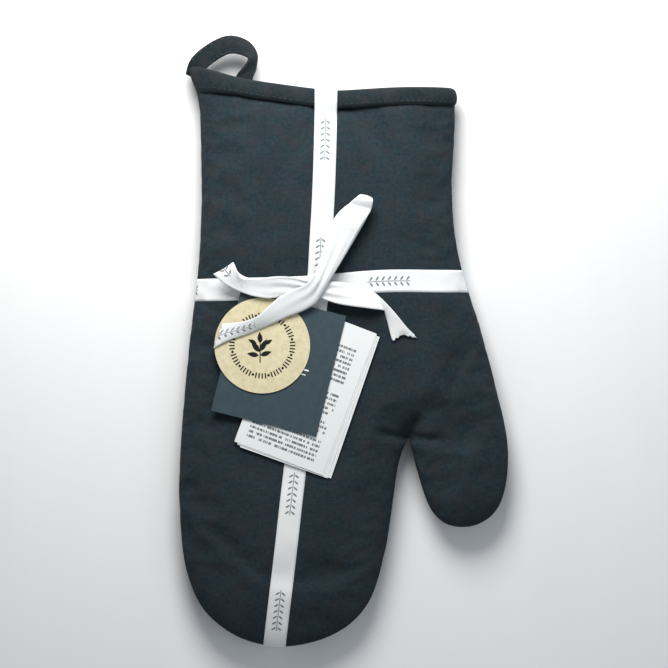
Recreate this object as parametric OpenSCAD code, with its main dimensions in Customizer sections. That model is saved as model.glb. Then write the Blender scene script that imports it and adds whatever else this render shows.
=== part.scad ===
// A padded oven mitt, lying on its back and tied with a gift ribbon that holds three paper tags.
// Frame: millimetres, +Z up, +Y towards the cuff, +X towards the thumb.
// The origin is at the middle of the bottom of the whole object.

/* [Mitt] */
// Full thickness of the padded mitt where it is flat
mitt_height = 24; // [20:1:30]
// How far the rounded edge reaches in from the outline
edge_radius = 30; // [24:1:34]
// Thickness of the outer cloth
cloth = 0.8; // [0.5:0.1:1.2]
// Thickness of the batting on each side
batting = 5; // [3:0.5:6]
// Height of the bound strip round the cuff
binding_width = 9.5; // [7:0.5:12]
// How much higher the cuff is at its loop corner
cuff_rise = 12.5; // [0:0.5:14]

/* [Hanging loop] */
// Width of the loop tape
tape_width = 10; // [8:0.5:11]
// Thickness of the folded loop tape
tape_thick = 1.6; // [1:0.1:2]

/* [Ribbon] */
// Width of the ribbon
ribbon_width = 12.5; // [9:0.5:14]
// Thickness of the ribbon
ribbon_thick = 0.4; // [0.3:0.05:0.5]

/* [Tags] */
// Radius of the round tag
round_tag_r = 26.5; // [25:0.5:28]
// Width of the card tag
card_w = 60; // [56:1:64]
// Length of the card tag
card_l = 69; // [65:1:73]
// Width of the folded leaflet
leaflet_w = 52; // [50:1:56]
// Length of the folded leaflet
leaflet_l = 84; // [80:1:88]

/* [Hidden] */

half = mitt_height / 2;
ribbon_gap = 0.1;
binding_cloth = 0.5;
binding_gap = 0.4;
binding_out = binding_cloth + binding_gap;
stitch_out = 0.25;
// Height of the seam between front and back: the ribbon, the binding and its stitches are below the mitt
mid_z = ribbon_thick + ribbon_gap + binding_out + stitch_out + half;
layer_gap = 0.15;
batting_depth = cloth + layer_gap;
lining_depth = batting_depth + batting + layer_gap;
lining_end = lining_depth + cloth;

// The outline, as [y, x] control points down each side, and the elliptical ends
cuff_y = 139.5;
left_side = [[152, -88], [139.5, -87], [125, -81.5], [100, -80], [60, -81], [5, -85], [-50, -91], [-90, -92],
    [-120, -88.8]];
right_side = [[152, 62], [130, 63], [90, 61], [62, 62], [27, 70], [0, 78], [-33, 87], [-60, 92], [-72, 92]];
finger_side = [[-54.5, 36.5], [-66, 32], [-97, 28], [-120, 23.8]];
thumb_inner = [[-54.5, 36.5], [-61, 38.2], [-72, 42]];
hand_end = [-32.5, -120, 56.3, 51.5];
thumb_end = [67, -72, 25, 33];

// The thumb folds along a line from the crotch up to the outline
crotch = [36.5, -54.5];
fold_top = [75, 10];
fold_gap = 0.4;

cloth_colour = [0.19, 0.24, 0.27];
lining_colour = [0.24, 0.28, 0.31];
batting_colour = [0.90, 0.89, 0.85];
ribbon_colour = [0.95, 0.96, 0.96];

// ---- Curves ----

function segment(t, y, i = 0) = i >= len(t) - 2 || y >= t[i + 1][0] ? i : segment(t, y, i + 1);
function slope(t, i) =
    let(a = max(i - 1, 0), b = min(i + 1, len(t) - 1))
    (t[b][1] - t[a][1]) / (t[b][0] - t[a][0]);
function through(t, y) =
    let(i = segment(t, y), h = t[i + 1][0] - t[i][0], u = (y - t[i][0]) / h)
    (2 * u^3 - 3 * u^2 + 1) * t[i][1] + (u^3 - 2 * u^2 + u) * slope(t, i) * h
    + (3 * u^2 - 2 * u^3) * t[i + 1][1] + (u^3 - u^2) * slope(t, i + 1) * h;
function cap_half(e, y) = e[2] * sqrt(max(0, 1 - ((e[1] - y) / e[3])^2));
function left_x(y) = y > hand_end[1] ? through(left_side, y) : hand_end[0] - cap_half(hand_end, y);
function right_x(y) = y > thumb_end[1] ? through(right_side, y) : thumb_end[0] + cap_half(thumb_end, y);
function finger_x(y) = y > hand_end[1] ? through(finger_side, y) : hand_end[0] + cap_half(hand_end, y);
function thumb_x(y) = y > thumb_end[1] ? through(thumb_inner, y) : thumb_end[0] - cap_half(thumb_end, y);
function fold_x(y) = crotch[0] + (y - crotch[1]) * (fold_top[0] - crotch[0]) / (fold_top[1] - crotch[1]);

// The closed outline, open only at the cuff, as one list of points
outline = concat(
    [for (y = [152, 139.5, 125, 110, 90, 60, 30, 5, -20, -50, -70, -90, -105]) [left_x(y), y]],
    [for (a = [180:-12:0]) [hand_end[0] + hand_end[2] * cos(a), hand_end[1] - hand_end[3] * sin(a)]],
    [for (y = [-105, -85, -66]) [finger_x(y), y]],
    [crotch],
    [[thumb_x(-62), -62]],
    [for (a = [180:-15:0]) [thumb_end[0] + thumb_end[2] * cos(a), thumb_end[1] - thumb_end[3] * sin(a)]],
    [for (y = [-55, -33, -15, 0, 14, 27, 45, 62, 90, 130, 152]) [right_x(y), y]]
);
function to_segment(p, a, b) =
    let(d = b - a, u = max(0, min(1, (p - a) * d / (d * d))))
    norm(p - a - u * d);
function edge_distance(p) = min([for (i = [0:len(outline) - 2]) to_segment(p, outline[i], outline[i + 1])]);

// Height above the seam of the surface that lies the given depth under the outer cloth's face
function bulge(u) = sqrt(max(0, 1 - (1 - max(0, min(1, u)))^2));
function height(p, depth) = (half - depth) * bulge((edge_distance(p) - depth) / (edge_radius - depth));

// The cuff edge runs up towards the corner with the loop
function rise(x) = x < -10 ? cuff_rise * min(1.1, ((-10 - x) / 76)^1.5) : 1.2 * max(0, (x - 10) / 52);
function lift(x, y) = rise(x) * min(1, max(0, (y - 95) / 44.5))^2;

// ---- Layers ----

columns = 12;
function across(j) = (1 - cos(180 * j / columns)) / 2;
function end_rows(e, depth) = [for (a = [18, 36, 52, 66, 78, 87]) e[1] - (e[3] - depth) * sin(a)];
function end_inset(e, y, depth) = (e[2] - depth) / e[2];

// A row's left and right ends, and its height on the mitt, for the hand
function hand_left(y, depth) =
    y > hand_end[1] ? left_x(y) + depth
    : hand_end[0] - (hand_end[2] - depth) * sqrt(max(0, 1 - ((hand_end[1] - y) / (hand_end[3] - depth))^2));
function hand_right(y, depth) =
    y > fold_top[1] ? right_x(y) - depth
    : y > crotch[1] ? min(fold_x(y) - fold_gap, right_x(y) - depth)
        - depth * max(0, 1 - (y - crotch[1]) / 12)
    : y > hand_end[1] ? finger_x(y) - depth
    : hand_end[0] + (hand_end[2] - depth) * sqrt(max(0, 1 - ((hand_end[1] - y) / (hand_end[3] - depth))^2));
function thumb_left(y, depth) =
    y > crotch[1] ? fold_x(y) + fold_gap + depth * max(0, 1 - (y - crotch[1]) / 12)
    : y > thumb_end[1] ? thumb_x(y) + depth
    : thumb_end[0] - (thumb_end[2] - depth) * sqrt(max(0, 1 - ((thumb_end[1] - y) / (thumb_end[3] - depth))^2));
function thumb_right(y, depth) =
    y > thumb_end[1] ? right_x(y) - depth
    : thumb_end[0] + (thumb_end[2] - depth) * sqrt(max(0, 1 - ((thumb_end[1] - y) / (thumb_end[3] - depth))^2));

hand_rows = [cuff_y, 130, 118, 95, 70, 45, 24, 10, -8, -24, -40, -48, -54.5, -66, -82, -98, -110, -120];
thumb_rows = [-10, -22, -34, -46, -54.5, -63, -72];

function hand_face(depth) = [
    for (y = concat(hand_rows, end_rows(hand_end, depth)))
        [for (j = [0:columns])
            let(a = hand_left(y, depth), b = hand_right(y, depth), x = a + (b - a) * across(j))
            [x, y + lift(x, y), height([x, y], depth)]]
];
function thumb_face(depth) = [
    for (y = concat([6 - 1.2 * depth], thumb_rows, end_rows(thumb_end, depth)))
        [for (j = [0:columns])
            let(a = thumb_left(y, depth), b = thumb_right(y, depth), x = a + (b - a) * across(j))
            [x, y, height([x, y], depth)]]
];

// A solid between two grids of points of the same size
module between(outer, inner) {
    rows = len(outer);
    cols = len(outer[0]);
    n = rows * cols;
    points = concat([for (r = outer) each r], [for (r = inner) each r]);
    function at(i, j, s) = s * n + i * cols + j;
    function quad(a, b, c, d) = [[a, b, c], [a, c, d]];
    faces = concat(
        [for (i = [0:rows - 2]) for (j = [0:cols - 2])
            each quad(at(i, j, 0), at(i, j + 1, 0), at(i + 1, j + 1, 0), at(i + 1, j, 0))],
        [for (i = [0:rows - 2]) for (j = [0:cols - 2])
            each quad(at(i, j, 1), at(i + 1, j, 1), at(i + 1, j + 1, 1), at(i, j + 1, 1))],
        [for (i = [0:rows - 2]) each quad(at(i, 0, 0), at(i + 1, 0, 0), at(i + 1, 0, 1), at(i, 0, 1))],
        [for (i = [0:rows - 2]) let(j = cols - 1)
            each quad(at(i, j, 0), at(i, j, 1), at(i + 1, j, 1), at(i + 1, j, 0))],
        [for (j = [0:cols - 2]) each quad(at(0, j, 0), at(0, j, 1), at(0, j + 1, 1), at(0, j + 1, 0))],
        [for (j = [0:cols - 2]) let(i = rows - 1)
            each quad(at(i, j, 0), at(i, j + 1, 0), at(i, j + 1, 1), at(i, j, 1))]
    );
    polyhedron(points = points, faces = faces, convexity = 6);
}

// Puts a face on the seam's height, at least the gap above it
function raised(face, gap) = [for (r = face) [for (p = r) [p[0], p[1], mid_z + max(p[2], gap)]]];
module hand_layer(depth, thick, gap) {
    between(raised(hand_face(depth), gap + 0.05), raised(hand_face(depth + thick), gap));
}
module thumb_layer(depth, thick, gap) {
    between(raised(thumb_face(depth), gap + 0.05), raised(thumb_face(depth + thick), gap));
}
module turned_over() {
    translate([0, 0, 2 * mid_z]) mirror([0, 0, 1]) children();
}

seam_half = 0.35;
module outer_front() { color(cloth_colour) hand_layer(0, cloth, 0.1); }
module outer_back() { color(cloth_colour) turned_over() hand_layer(0, cloth, 0.1); }
module batting_front() { color(batting_colour) hand_layer(batting_depth, batting, seam_half + 0.1); }
module batting_back() {
    color(batting_colour) turned_over() hand_layer(batting_depth, batting, seam_half + 0.1);
}
module lining_front() { color(lining_colour) hand_layer(lining_depth, cloth, seam_half + 0.1); }
module lining_back() { color(lining_colour) turned_over() hand_layer(lining_depth, cloth, seam_half + 0.1); }
module thumb_outer_front() { color(cloth_colour) thumb_layer(0, cloth, 0.1); }
module thumb_outer_back() { color(cloth_colour) turned_over() thumb_layer(0, cloth, 0.1); }
module thumb_batting_front() {
    color(batting_colour) thumb_layer(batting_depth, batting, seam_half + 0.1);
}
module thumb_batting_back() {
    color(batting_colour) turned_over() thumb_layer(batting_depth, batting, seam_half + 0.1);
}
module thumb_lining_front() { color(lining_colour) thumb_layer(lining_depth, cloth, seam_half + 0.1); }
module thumb_lining_back() { color(lining_colour) turned_over() thumb_layer(lining_depth, cloth, seam_half + 0.1); }

// The seam's turned-in edges, which lie flat between the two battings round the outline
fold_side = (fold_top - crotch) / norm(fold_top - crotch);
fold_out = [fold_side[1], -fold_side[0]];
module beyond_fold(gap) {
    a = crotch + gap * fold_out - 60 * fold_side;
    b = crotch + gap * fold_out + 140 * fold_side;
    polygon([a, b, b + 160 * fold_out, a + 160 * fold_out]);
}
module seam_band() {
    intersection() {
        difference() {
            offset(delta = -1.2) polygon(outline);
            offset(delta = -5.2) polygon(outline);
        }
        translate([-120, -190]) square([240, 190 + cuff_y - binding_width - 1]);
    }
}
module thumb_zone() {
    intersection() {
        beyond_fold(0.3);
        translate([crotch[0], -110]) square([70, 125]);
    }
}
module hand_zone() {
    difference() {
        translate([-110, -180]) square([220, 330]);
        intersection() {
            beyond_fold(-0.3);
            translate([crotch[0] - 0.3, -112]) square([80, 140]);
        }
    }
}
module seam_allowance() {
    color(cloth_colour) translate([0, 0, mid_z - seam_half + 0.02])
        linear_extrude(2 * seam_half - 0.04) intersection() { seam_band(); hand_zone(); }
}
module thumb_seam_allowance() {
    color(cloth_colour) translate([0, 0, mid_z - seam_half + 0.02])
        linear_extrude(2 * seam_half - 0.04) intersection() { seam_band(); thumb_zone(); }
}

// ---- Cuff ----

quarter = [0, 18, 36, 54, 72, 90];
// Points once round the cuff at the given height, the given depth under the outer face
function cuff_ring(y, depth) =
    let(r = edge_radius - depth, h = half - depth, a0 = left_x(y) + depth, b0 = right_x(y) - depth,
        top = concat(
            [for (a = quarter) [b0 - r * (1 - cos(a)), h * sin(a)]],
            [for (u = [0.2:0.2:0.8]) [(b0 - r) * (1 - u) + (a0 + r) * u, h]],
            [for (k = [5:-1:0]) [a0 + r * (1 - cos(quarter[k])), h * sin(quarter[k])]]),
        ring = concat(top, [for (k = [len(top) - 2:-1:1]) [top[k][0], -top[k][1]]]))
    [for (p = ring) [p[0], y + lift(p[0], y), mid_z + p[1]]];
// A closed solid swept round the cuff: its section is a list of [depth, y]
module cuff_sweep(section) {
    rings = [for (s = section) cuff_ring(s[1], s[0])];
    m = len(section);
    n = len(rings[0]);
    faces = [for (i = [0:m - 1]) for (k = [0:n - 1])
        let(i2 = (i + 1) % m, k2 = (k + 1) % n)
        each [[i * n + k, i2 * n + k2, i2 * n + k], [i * n + k, i * n + k2, i2 * n + k2]]];
    polyhedron(points = [for (r = rings) each r], faces = faces, convexity = 8);
}
module cuff_binding() {
    low = cuff_y - binding_width;
    out_face = -binding_out;
    in_face = lining_end + binding_gap + binding_cloth;
    color(cloth_colour) cuff_sweep([
        [out_face, low], [out_face, cuff_y + 1], [in_face, cuff_y + 1], [in_face, low],
        [lining_end + binding_gap, low], [lining_end + binding_gap, cuff_y + 0.3],
        [-binding_gap, cuff_y + 0.3], [-binding_gap, low]
    ]);
}
module binding_stitch_line() {
    low = cuff_y - binding_width + 1.2;
    color([0.30, 0.35, 0.38]) cuff_sweep([
        [-binding_out - stitch_out + 0.05, low], [-binding_out - stitch_out + 0.05, low + 0.4],
        [-binding_out - 0.05, low + 0.4], [-binding_out - 0.05, low]
    ]);
}

// ---- Strips of tape and ribbon ----

// A flat strip along a path; each point is [position, side direction, width]
module strip(path, thick) {
    n = len(path);
    function tangent(i) =
        let(d = path[min(i + 1, n - 1)][0] - path[max(i - 1, 0)][0]) d / norm(d);
    function normal(i) = let(c = cross(tangent(i), path[i][1])) c / norm(c);
    rings = [for (i = [0:n - 1])
        let(p = path[i][0], s = path[i][1] / norm(path[i][1]) * path[i][2] / 2, t = normal(i) * thick / 2)
        each [p - s - t, p + s - t, p + s + t, p - s + t]];
    sides = [for (i = [0:n - 2]) for (k = [0:3])
        let(a = 4 * i + k, b = 4 * i + (k + 1) % 4)
        each [[a, b + 4, b], [a, a + 4, b + 4]]];
    ends = [[0, 2, 3], [0, 1, 2], [4 * n - 4, 4 * n - 2, 4 * n - 3], [4 * n - 4, 4 * n - 1, 4 * n - 2]];
    polyhedron(points = rings, faces = concat(sides, ends), convexity = 6);
}
// A smooth curve through control points, each [position, side direction, width]
function catmull(a, b, c, d, u) =
    0.5 * (2 * b + (c - a) * u + (2 * a - 5 * b + 4 * c - d) * u^2 + (3 * b - 3 * c + d - a) * u^3);
function smooth_path(c, steps) = [
    for (i = [0:len(c) - 2]) for (k = [0:(i == len(c) - 2 ? steps : steps - 1)])
        let(u = k / steps, p = c[max(i - 1, 0)], q = c[i], r = c[i + 1], s = c[min(i + 2, len(c) - 1)])
        [for (m = [0:2]) catmull(p[m], q[m], r[m], s[m], u)]
];

// The hanging loop: tape turned on edge at its right leg, both ends sewn into the binding
loop_z = mid_z;
loop_path = [
    [[-81.5, 153.9, loop_z], [1, -0.5, 0], tape_width],
    [[-77.5, 158.5, loop_z], [0.8, -0.7, 0.1], tape_width],
    [[-71.5, 163.2, loop_z + 0.5], [0.5, -0.9, 0.2], tape_width],
    [[-63, 165.6, loop_z + 1], [0, -1, 0.3], tape_width],
    [[-55.5, 162.5, loop_z + 0.5], [-0.6, -0.6, 0.7], tape_width - 1],
    [[-51.6, 156.5, loop_z], [-0.45, -0.1, 0.9], tape_width - 2],
    [[-51.9, 149.6, loop_z], [-0.3, 0, 1], 4]
];
module hanging_loop() { color([0.26, 0.30, 0.33]) strip(smooth_path(loop_path, 4), tape_thick); }

// ---- Ribbon round the mitt ----

top_z = mid_z + half;
under_z = mid_z - half;
knot = [-14.5, 29, 0];
cross_left = [left_x(28), 27.6];
cross_right = [right_x(32.6), 32.6];
tip_point = [-38.6, -171.2];
cuff_point = [-9.7, cuff_y + 1.3];
run = ribbon_thick / 2;
along_y = [1, 0, 0];
along_x = [0, 1, 0];

// Points round the mitt's edge at p, going in along d: from the underside to the top
function edge_turn(p, d, clear, side, from, to, step) = [
    for (a = [from:step:to])
        let(r = edge_radius, q = p + d * (r - (r + clear) * cos(a)))
        [[q[0], q[1], mid_z + (half + clear) * sin(a)], side, ribbon_width]
];

length_dir = [knot[0] - tip_point[0], knot[1] - tip_point[1]] / norm([knot[0] - tip_point[0], knot[1] - tip_point[1]]);
length_side = [length_dir[1], -length_dir[0], 0];
clear_low = ribbon_gap + run;
module ribbon_length_front() {
    z = top_z + clear_low;
    edge_z = top_z + binding_out + stitch_out + clear_low;
    y_out = cuff_point[1] + clear_low + 0.5;
    path = concat(
        edge_turn(tip_point, length_dir, clear_low, length_side, -70, 80, 15),
        [
            [[-32.8, -120, z], length_side, ribbon_width],
            [[-27.2, -72.3, z], length_side, ribbon_width],
            [[knot[0] - 3.5, knot[1] - 29, z], length_side, ribbon_width],
            [[knot[0], knot[1], z], [1, -0.07, 0], ribbon_width],
            [[-11.6, 77.6, z], [1, -0.05, 0], ribbon_width],
            [[-10.2, 110, z], along_y, ribbon_width],
            [[-9.9, cuff_y - binding_width - 3, z], along_y, ribbon_width],
            [[-9.8, cuff_y - binding_width, edge_z], along_y, ribbon_width],
            [[-9.7, y_out - 1.2, edge_z], along_y, ribbon_width],
            [[-9.7, y_out - 0.35, edge_z - 0.35], along_y, ribbon_width],
            [[-9.7, y_out, edge_z - 1.2], along_y, ribbon_width],
            [[-9.7, y_out, 3], along_y, ribbon_width],
            [[-9.7, y_out, 1.2], along_y, ribbon_width]
        ]);
    color(ribbon_colour) strip(path, ribbon_thick);
}
module ribbon_length_back() {
    color(ribbon_colour) strip([
        [[-9.7, cuff_point[1] - 1.5, run], along_y, ribbon_width],
        [[-11.6, 77.6, run], [1, -0.05, 0], ribbon_width],
        [[knot[0], knot[1], run], [1, -0.1, 0], ribbon_width],
        [[-27.2, -72.3, run], length_side, ribbon_width],
        [[tip_point[0] + 4, tip_point[1] + 32, run], length_side, ribbon_width]
    ], ribbon_thick);
}
cross_clear = clear_low + ribbon_thick + ribbon_gap;
cross_dir = (cross_right - cross_left) / norm(cross_right - cross_left);
cross_side = [-cross_dir[1], cross_dir[0], 0];
module ribbon_cross_front() {
    color(ribbon_colour) strip(concat(
        edge_turn(cross_left, cross_dir, cross_clear + 0.5, cross_side, -70, 80, 15),
        [[[knot[0], knot[1] + 1, top_z + cross_clear], cross_side, ribbon_width]],
        [for (k = edge_turn(cross_right, -cross_dir, cross_clear + 0.6, cross_side, -80, 70, 15))
            [[k[0][0], k[0][1], 2 * mid_z - k[0][2]], k[1], k[2]]]
    ), ribbon_thick);
}
module ribbon_cross_back() {
    z = run + ribbon_thick + ribbon_gap;
    color(ribbon_colour) strip([
        [[cross_left[0] + 32, cross_left[1] + 1, z], cross_side, ribbon_width],
        [[cross_right[0] - 32, cross_right[1] - 1, z], cross_side, ribbon_width]
    ], ribbon_thick);
}

// ---- Bow ----

bow_z = top_z + 4.9;
// The knot: a flattened lump, turned from half an oval
module ribbon_knot() {
    knot_r = 7;
    knot_h = 3.2;
    base = top_z + cross_clear + run + ribbon_gap;
    color(ribbon_colour) translate([knot[0], knot[1], base + knot_h]) rotate_extrude($fn = 32)
        polygon([for (a = [-90:15:90]) [max(0, knot_r * cos(a)), knot_h * sin(a)]]);
}
// Two layers of ribbon from the knot out to a rounded fold, as one closed strip with both ends free
module bow_loop(start, tip, width, low, high, dip) {
    d = (tip - start) / norm(tip - start);
    side = [-d[1], d[0], 0];
    long = norm(tip - start);
    function place(s, z) = [start[0] + d[0] * s, start[1] + d[1] * s, z];
    mid = (low + high) / 2;
    r = (high - low) / 2;
    path = concat(
        [[place(0, low), side, width * 0.6], [place(long * 0.3, low), side, width],
         [place(long * 0.7, low), side, width]],
        [for (a = [-90:22.5:90]) [place(long - r + r * cos(a), mid + r * sin(a)), side, width]],
        [[place(long * 0.6, high + dip), side, width], [place(long * 0.25, high + dip * 0.6), side, width],
         [place(0, low + 1.8), side, width * 0.6]]
    );
    color(ribbon_colour) strip(path, ribbon_thick);
}
module bow_loop_upper() {
    bow_loop([knot[0] + 4.5, knot[1] + 6.5], [14.5, 78.5], ribbon_width, top_z + 2, top_z + 9, 1.5);
}
module bow_loop_left() {
    bow_loop([knot[0] - 7.6, knot[1] + 1], [-70, 34.5], ribbon_width, bow_z + 1.2, bow_z + 7.2, 1);
}
module bow_tail_left() {
    color(ribbon_colour) strip(smooth_path([
        [[knot[0] - 6.3, knot[1] - 5.2, bow_z], [0.55, -0.83, 0], ribbon_width * 0.8],
        [[-33, 16.5, bow_z + 0.6], [0.38, -0.92, 0], ribbon_width],
        [[-50, 9.5, bow_z + 0.2], [0.38, -0.92, 0], ribbon_width],
        [[-69, 3, bow_z], [0.38, -0.92, 0], ribbon_width]
    ], 3), ribbon_thick);
}
module bow_tail_right() {
    color(ribbon_colour) strip(smooth_path([
        [[knot[0] + 7.5, knot[1] - 3.2, bow_z - 1.6], [0.1, 1, 0], ribbon_width * 0.8],
        [[6, 24.5, bow_z + 1.5], [0.15, 1, 0], ribbon_width],
        [[17, 20.5, bow_z - 0.5], [0.5, 0.85, 0], ribbon_width],
        [[25, 11, bow_z - 2], [0.78, 0.62, 0.1], ribbon_width],
        [[33.5, -0.5, bow_z - 2.8], [0.8, 0.6, 0.1], ribbon_width]
    ], 3), ribbon_thick);
}

// ---- Tags ----

pivot = [-29.5, 14.5];
hole_r = 1.3;
leaflet_z = top_z + 1.3;
leaflet_high = 1.2;
card_z = leaflet_z + leaflet_high + 0.3;
card_thick = 0.6;
round_z = card_z + card_thick + 0.3;
round_thick = 0.5;
paper = 0.2;

// The gathered strand of ribbon that the three tags are threaded on
module tag_strand() {
    low = top_z + 0.1;
    color(ribbon_colour) translate([pivot[0], pivot[1], low])
        cylinder(r = hole_r - 0.3, h = bow_z - run - 0.15 - low, $fn = 32);
}
module tag_hole(z, h) {
    translate([pivot[0], pivot[1], z - 1]) cylinder(r = hole_r, h = h + 2, $fn = 32);
}
module round_tag() {
    color([0.86, 0.79, 0.63]) difference() {
        translate([-45, -3.2, round_z]) cylinder(r = round_tag_r, h = round_thick, $fn = 96);
        tag_hole(round_z, round_thick);
    }
}
module card_tag() {
    color([0.22, 0.30, 0.32]) difference() {
        translate([-36, -13, card_z]) rotate([0, 0, -14])
            translate([-card_w / 2, -card_l / 2, 0]) cube([card_w, card_l, card_thick]);
        tag_hole(card_z, card_thick);
    }
}
// A sheet folded once along its left edge
module folded_sheet(inset, z, h) {
    w = leaflet_w - 2 * inset;
    l = leaflet_l - 2 * inset;
    difference() {
        translate([-21.1, -26.5, z]) rotate([0, 0, -21]) translate([-w / 2, -l / 2, 0]) difference() {
            cube([w, l, h]);
            translate([paper, -1, paper]) cube([w, l + 2, h - 2 * paper]);
        }
        tag_hole(z, h);
    }
}
module leaflet_outer_sheet() { color([0.92, 0.95, 0.95]) folded_sheet(0, leaflet_z, leaflet_high); }
module leaflet_inner_sheet() {
    color([0.88, 0.92, 0.92]) folded_sheet(0.4, leaflet_z + paper + 0.1, leaflet_high - 2 * paper - 0.2);
}

outer_front();
outer_back();
batting_front();
batting_back();
lining_front();
lining_back();
seam_allowance();
cuff_binding();
binding_stitch_line();
thumb_outer_front();
thumb_outer_back();
thumb_batting_front();
thumb_batting_back();
thumb_lining_front();
thumb_lining_back();
thumb_seam_allowance();
hanging_loop();
ribbon_length_front();
ribbon_length_back();
ribbon_cross_front();
ribbon_cross_back();
ribbon_knot();
bow_loop_upper();
bow_loop_left();
bow_tail_left();
bow_tail_right();
tag_strand();
round_tag();
card_tag();
leaflet_outer_sheet();
leaflet_inner_sheet();
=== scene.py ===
"""Looks for the tied oven mitt: padded cloth, bound cuff, tape loop, ribbon with bow, and three tags."""

import math

import bpy
import numpy as np
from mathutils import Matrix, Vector
from mathutils.bvhtree import BVHTree
from mathutils.geometry import delaunay_2d_cdt


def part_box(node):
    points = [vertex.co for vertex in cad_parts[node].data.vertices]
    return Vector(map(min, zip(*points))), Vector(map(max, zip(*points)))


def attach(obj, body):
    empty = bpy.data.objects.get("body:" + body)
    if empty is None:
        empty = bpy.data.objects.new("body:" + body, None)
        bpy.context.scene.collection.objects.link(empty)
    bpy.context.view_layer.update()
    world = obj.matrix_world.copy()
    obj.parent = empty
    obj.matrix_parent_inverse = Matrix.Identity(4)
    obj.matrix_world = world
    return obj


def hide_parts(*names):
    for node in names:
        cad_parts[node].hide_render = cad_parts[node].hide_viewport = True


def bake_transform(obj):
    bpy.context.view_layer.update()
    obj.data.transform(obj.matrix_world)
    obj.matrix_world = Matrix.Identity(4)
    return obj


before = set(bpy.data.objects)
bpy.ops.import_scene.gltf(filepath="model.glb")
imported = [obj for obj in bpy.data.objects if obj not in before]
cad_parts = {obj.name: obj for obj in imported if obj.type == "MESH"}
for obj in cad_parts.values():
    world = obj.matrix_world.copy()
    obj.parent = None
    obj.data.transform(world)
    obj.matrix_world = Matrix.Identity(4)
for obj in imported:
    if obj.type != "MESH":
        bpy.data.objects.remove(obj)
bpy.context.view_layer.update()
MM = 0.001
noise_rng = np.random.default_rng(7)

# ---- Sizes and places from the frame ----

OUTER_LOW, OUTER_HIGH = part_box("outer_front")
TOP = OUTER_HIGH.z
SEAM_Z = OUTER_LOW.z - 0.15 * MM
HALF = TOP - SEAM_Z
EDGE_R = 30 * MM
LINING_DEPTH = 6.7 * MM
RIBBON_W = 12.5 * MM
RIBBON_T = 0.35 * MM

# The mitt's outline, in millimetres, as in the CAD: from the left of the cuff to the crotch, then the thumb
HAND_EDGE = [(-87.5, 152), (-81.5, 135), (-80, 105), (-79.8, 70), (-82, 33), (-85.5, 5), (-90.2, -45),
             (-92, -80), (-91, -105), (-87.5, -130), (-78, -151), (-61, -165), (-45, -170.5), (-32, -171.5),
             (-13, -167.8), (3, -159.5), (14, -147), (20.5, -130), (25, -110), (29, -82), (32, -66),
             (36.5, -54.5)]
THUMB_EDGE = [(36.5, -54.5), (38.6, -64), (43, -80), (49.5, -96), (57, -103), (66, -105), (75.5, -103.3),
              (84.5, -97), (90, -85), (92, -62), (88.5, -40), (82, -14), (76, 9), (69.5, 29), (64, 50),
              (61, 78), (61, 95), (62.3, 115), (62.5, 141)]
CUFF_EDGE = [(-90, 154), (-86, 153.2), (-75, 150.8), (-62, 146.8), (-51, 144.6), (-33, 142), (-16, 139.8),
             (-3, 138.8), (12, 139.6), (31, 140.6), (62, 140.8), (66, 140.8)]
CROTCH = np.array([36.5, -54.5])
FOLD_TOP = np.array([75.5, 10.5])
KNOT = np.array([-14.5, 29.0])
TAG_PIVOT = np.array([-29.5, 14.5])


def unit(vectors):
    return vectors / np.maximum(np.linalg.norm(vectors, axis=-1, keepdims=True), 1e-9)


def run_length(points):
    """The distance run along a line of points, at each of them."""
    return np.concatenate([[0], np.cumsum(np.linalg.norm(np.diff(points, axis=0), axis=1))])


def between(p, q, start, end, t):
    """The point at t on the line that is at p at start and at q at end."""
    return (end - t) / (end - start) * p + (t - start) / (end - start) * q


def curve_through(points):
    """Points about 3 mm apart, in metres, along a smooth curve through a list in millimetres."""
    p = np.array(points, float)
    ext = np.vstack([2 * p[0] - p[1], p, 2 * p[-1] - p[-2]])
    dense = []
    for a, b, c, d in zip(ext[:-3], ext[1:-2], ext[2:-1], ext[3:]):
        tb = np.linalg.norm(b - a) ** 0.5
        tc = tb + np.linalg.norm(c - b) ** 0.5
        td = tc + np.linalg.norm(d - c) ** 0.5
        for t in np.linspace(tb, tc, 24, endpoint=False):
            ab, bc, cd = between(a, b, 0, tb, t), between(b, c, tb, tc, t), between(c, d, tc, td, t)
            dense.append(between(between(ab, bc, 0, tc, t), between(bc, cd, tb, td, t), tb, tc, t))
    dense = np.array(dense + [p[-1]])
    run = run_length(dense)
    at = np.linspace(0, run[-1], max(2, int(round(run[-1] / 3)) + 1))
    return np.stack([np.interp(at, run, column) for column in dense.T], axis=1) * MM


def cuff_edge_y(x):
    """Height of the cuff's top edge at x, in metres."""
    return np.interp(x, CUFF_CURVE[:, 0], CUFF_CURVE[:, 1])


CUFF_CURVE = curve_through(CUFF_EDGE)
HAND_CURVE = curve_through(HAND_EDGE)
THUMB_CURVE = curve_through(THUMB_EDGE)
SIDES = np.vstack([HAND_CURVE, THUMB_CURVE[1:]])


def edge_distance(xy, line=SIDES):
    """Distance of each point to a line: by default the mitt's outline, which is open at the cuff."""
    best = np.full(len(xy), 1.0)
    for start, step in zip(line[:-1], np.diff(line, axis=0)):
        u = np.clip(((xy - start) @ step) / (step @ step), 0, 1)
        best = np.minimum(best, np.linalg.norm(xy - start - u[:, None] * step, axis=1))
    return best


def inside(xy, loop):
    """True for the points within a closed loop."""
    hit = np.zeros(len(xy), bool)
    for a, b in zip(loop, np.roll(loop, -1, axis=0)):
        cross = (a[1] > xy[:, 1]) != (b[1] > xy[:, 1])
        with np.errstate(divide="ignore", invalid="ignore"):
            at = a[0] + (xy[:, 1] - a[1]) * (b[0] - a[0]) / (b[1] - a[1])
        hit ^= cross & (xy[:, 0] < at)
    return hit


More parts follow.
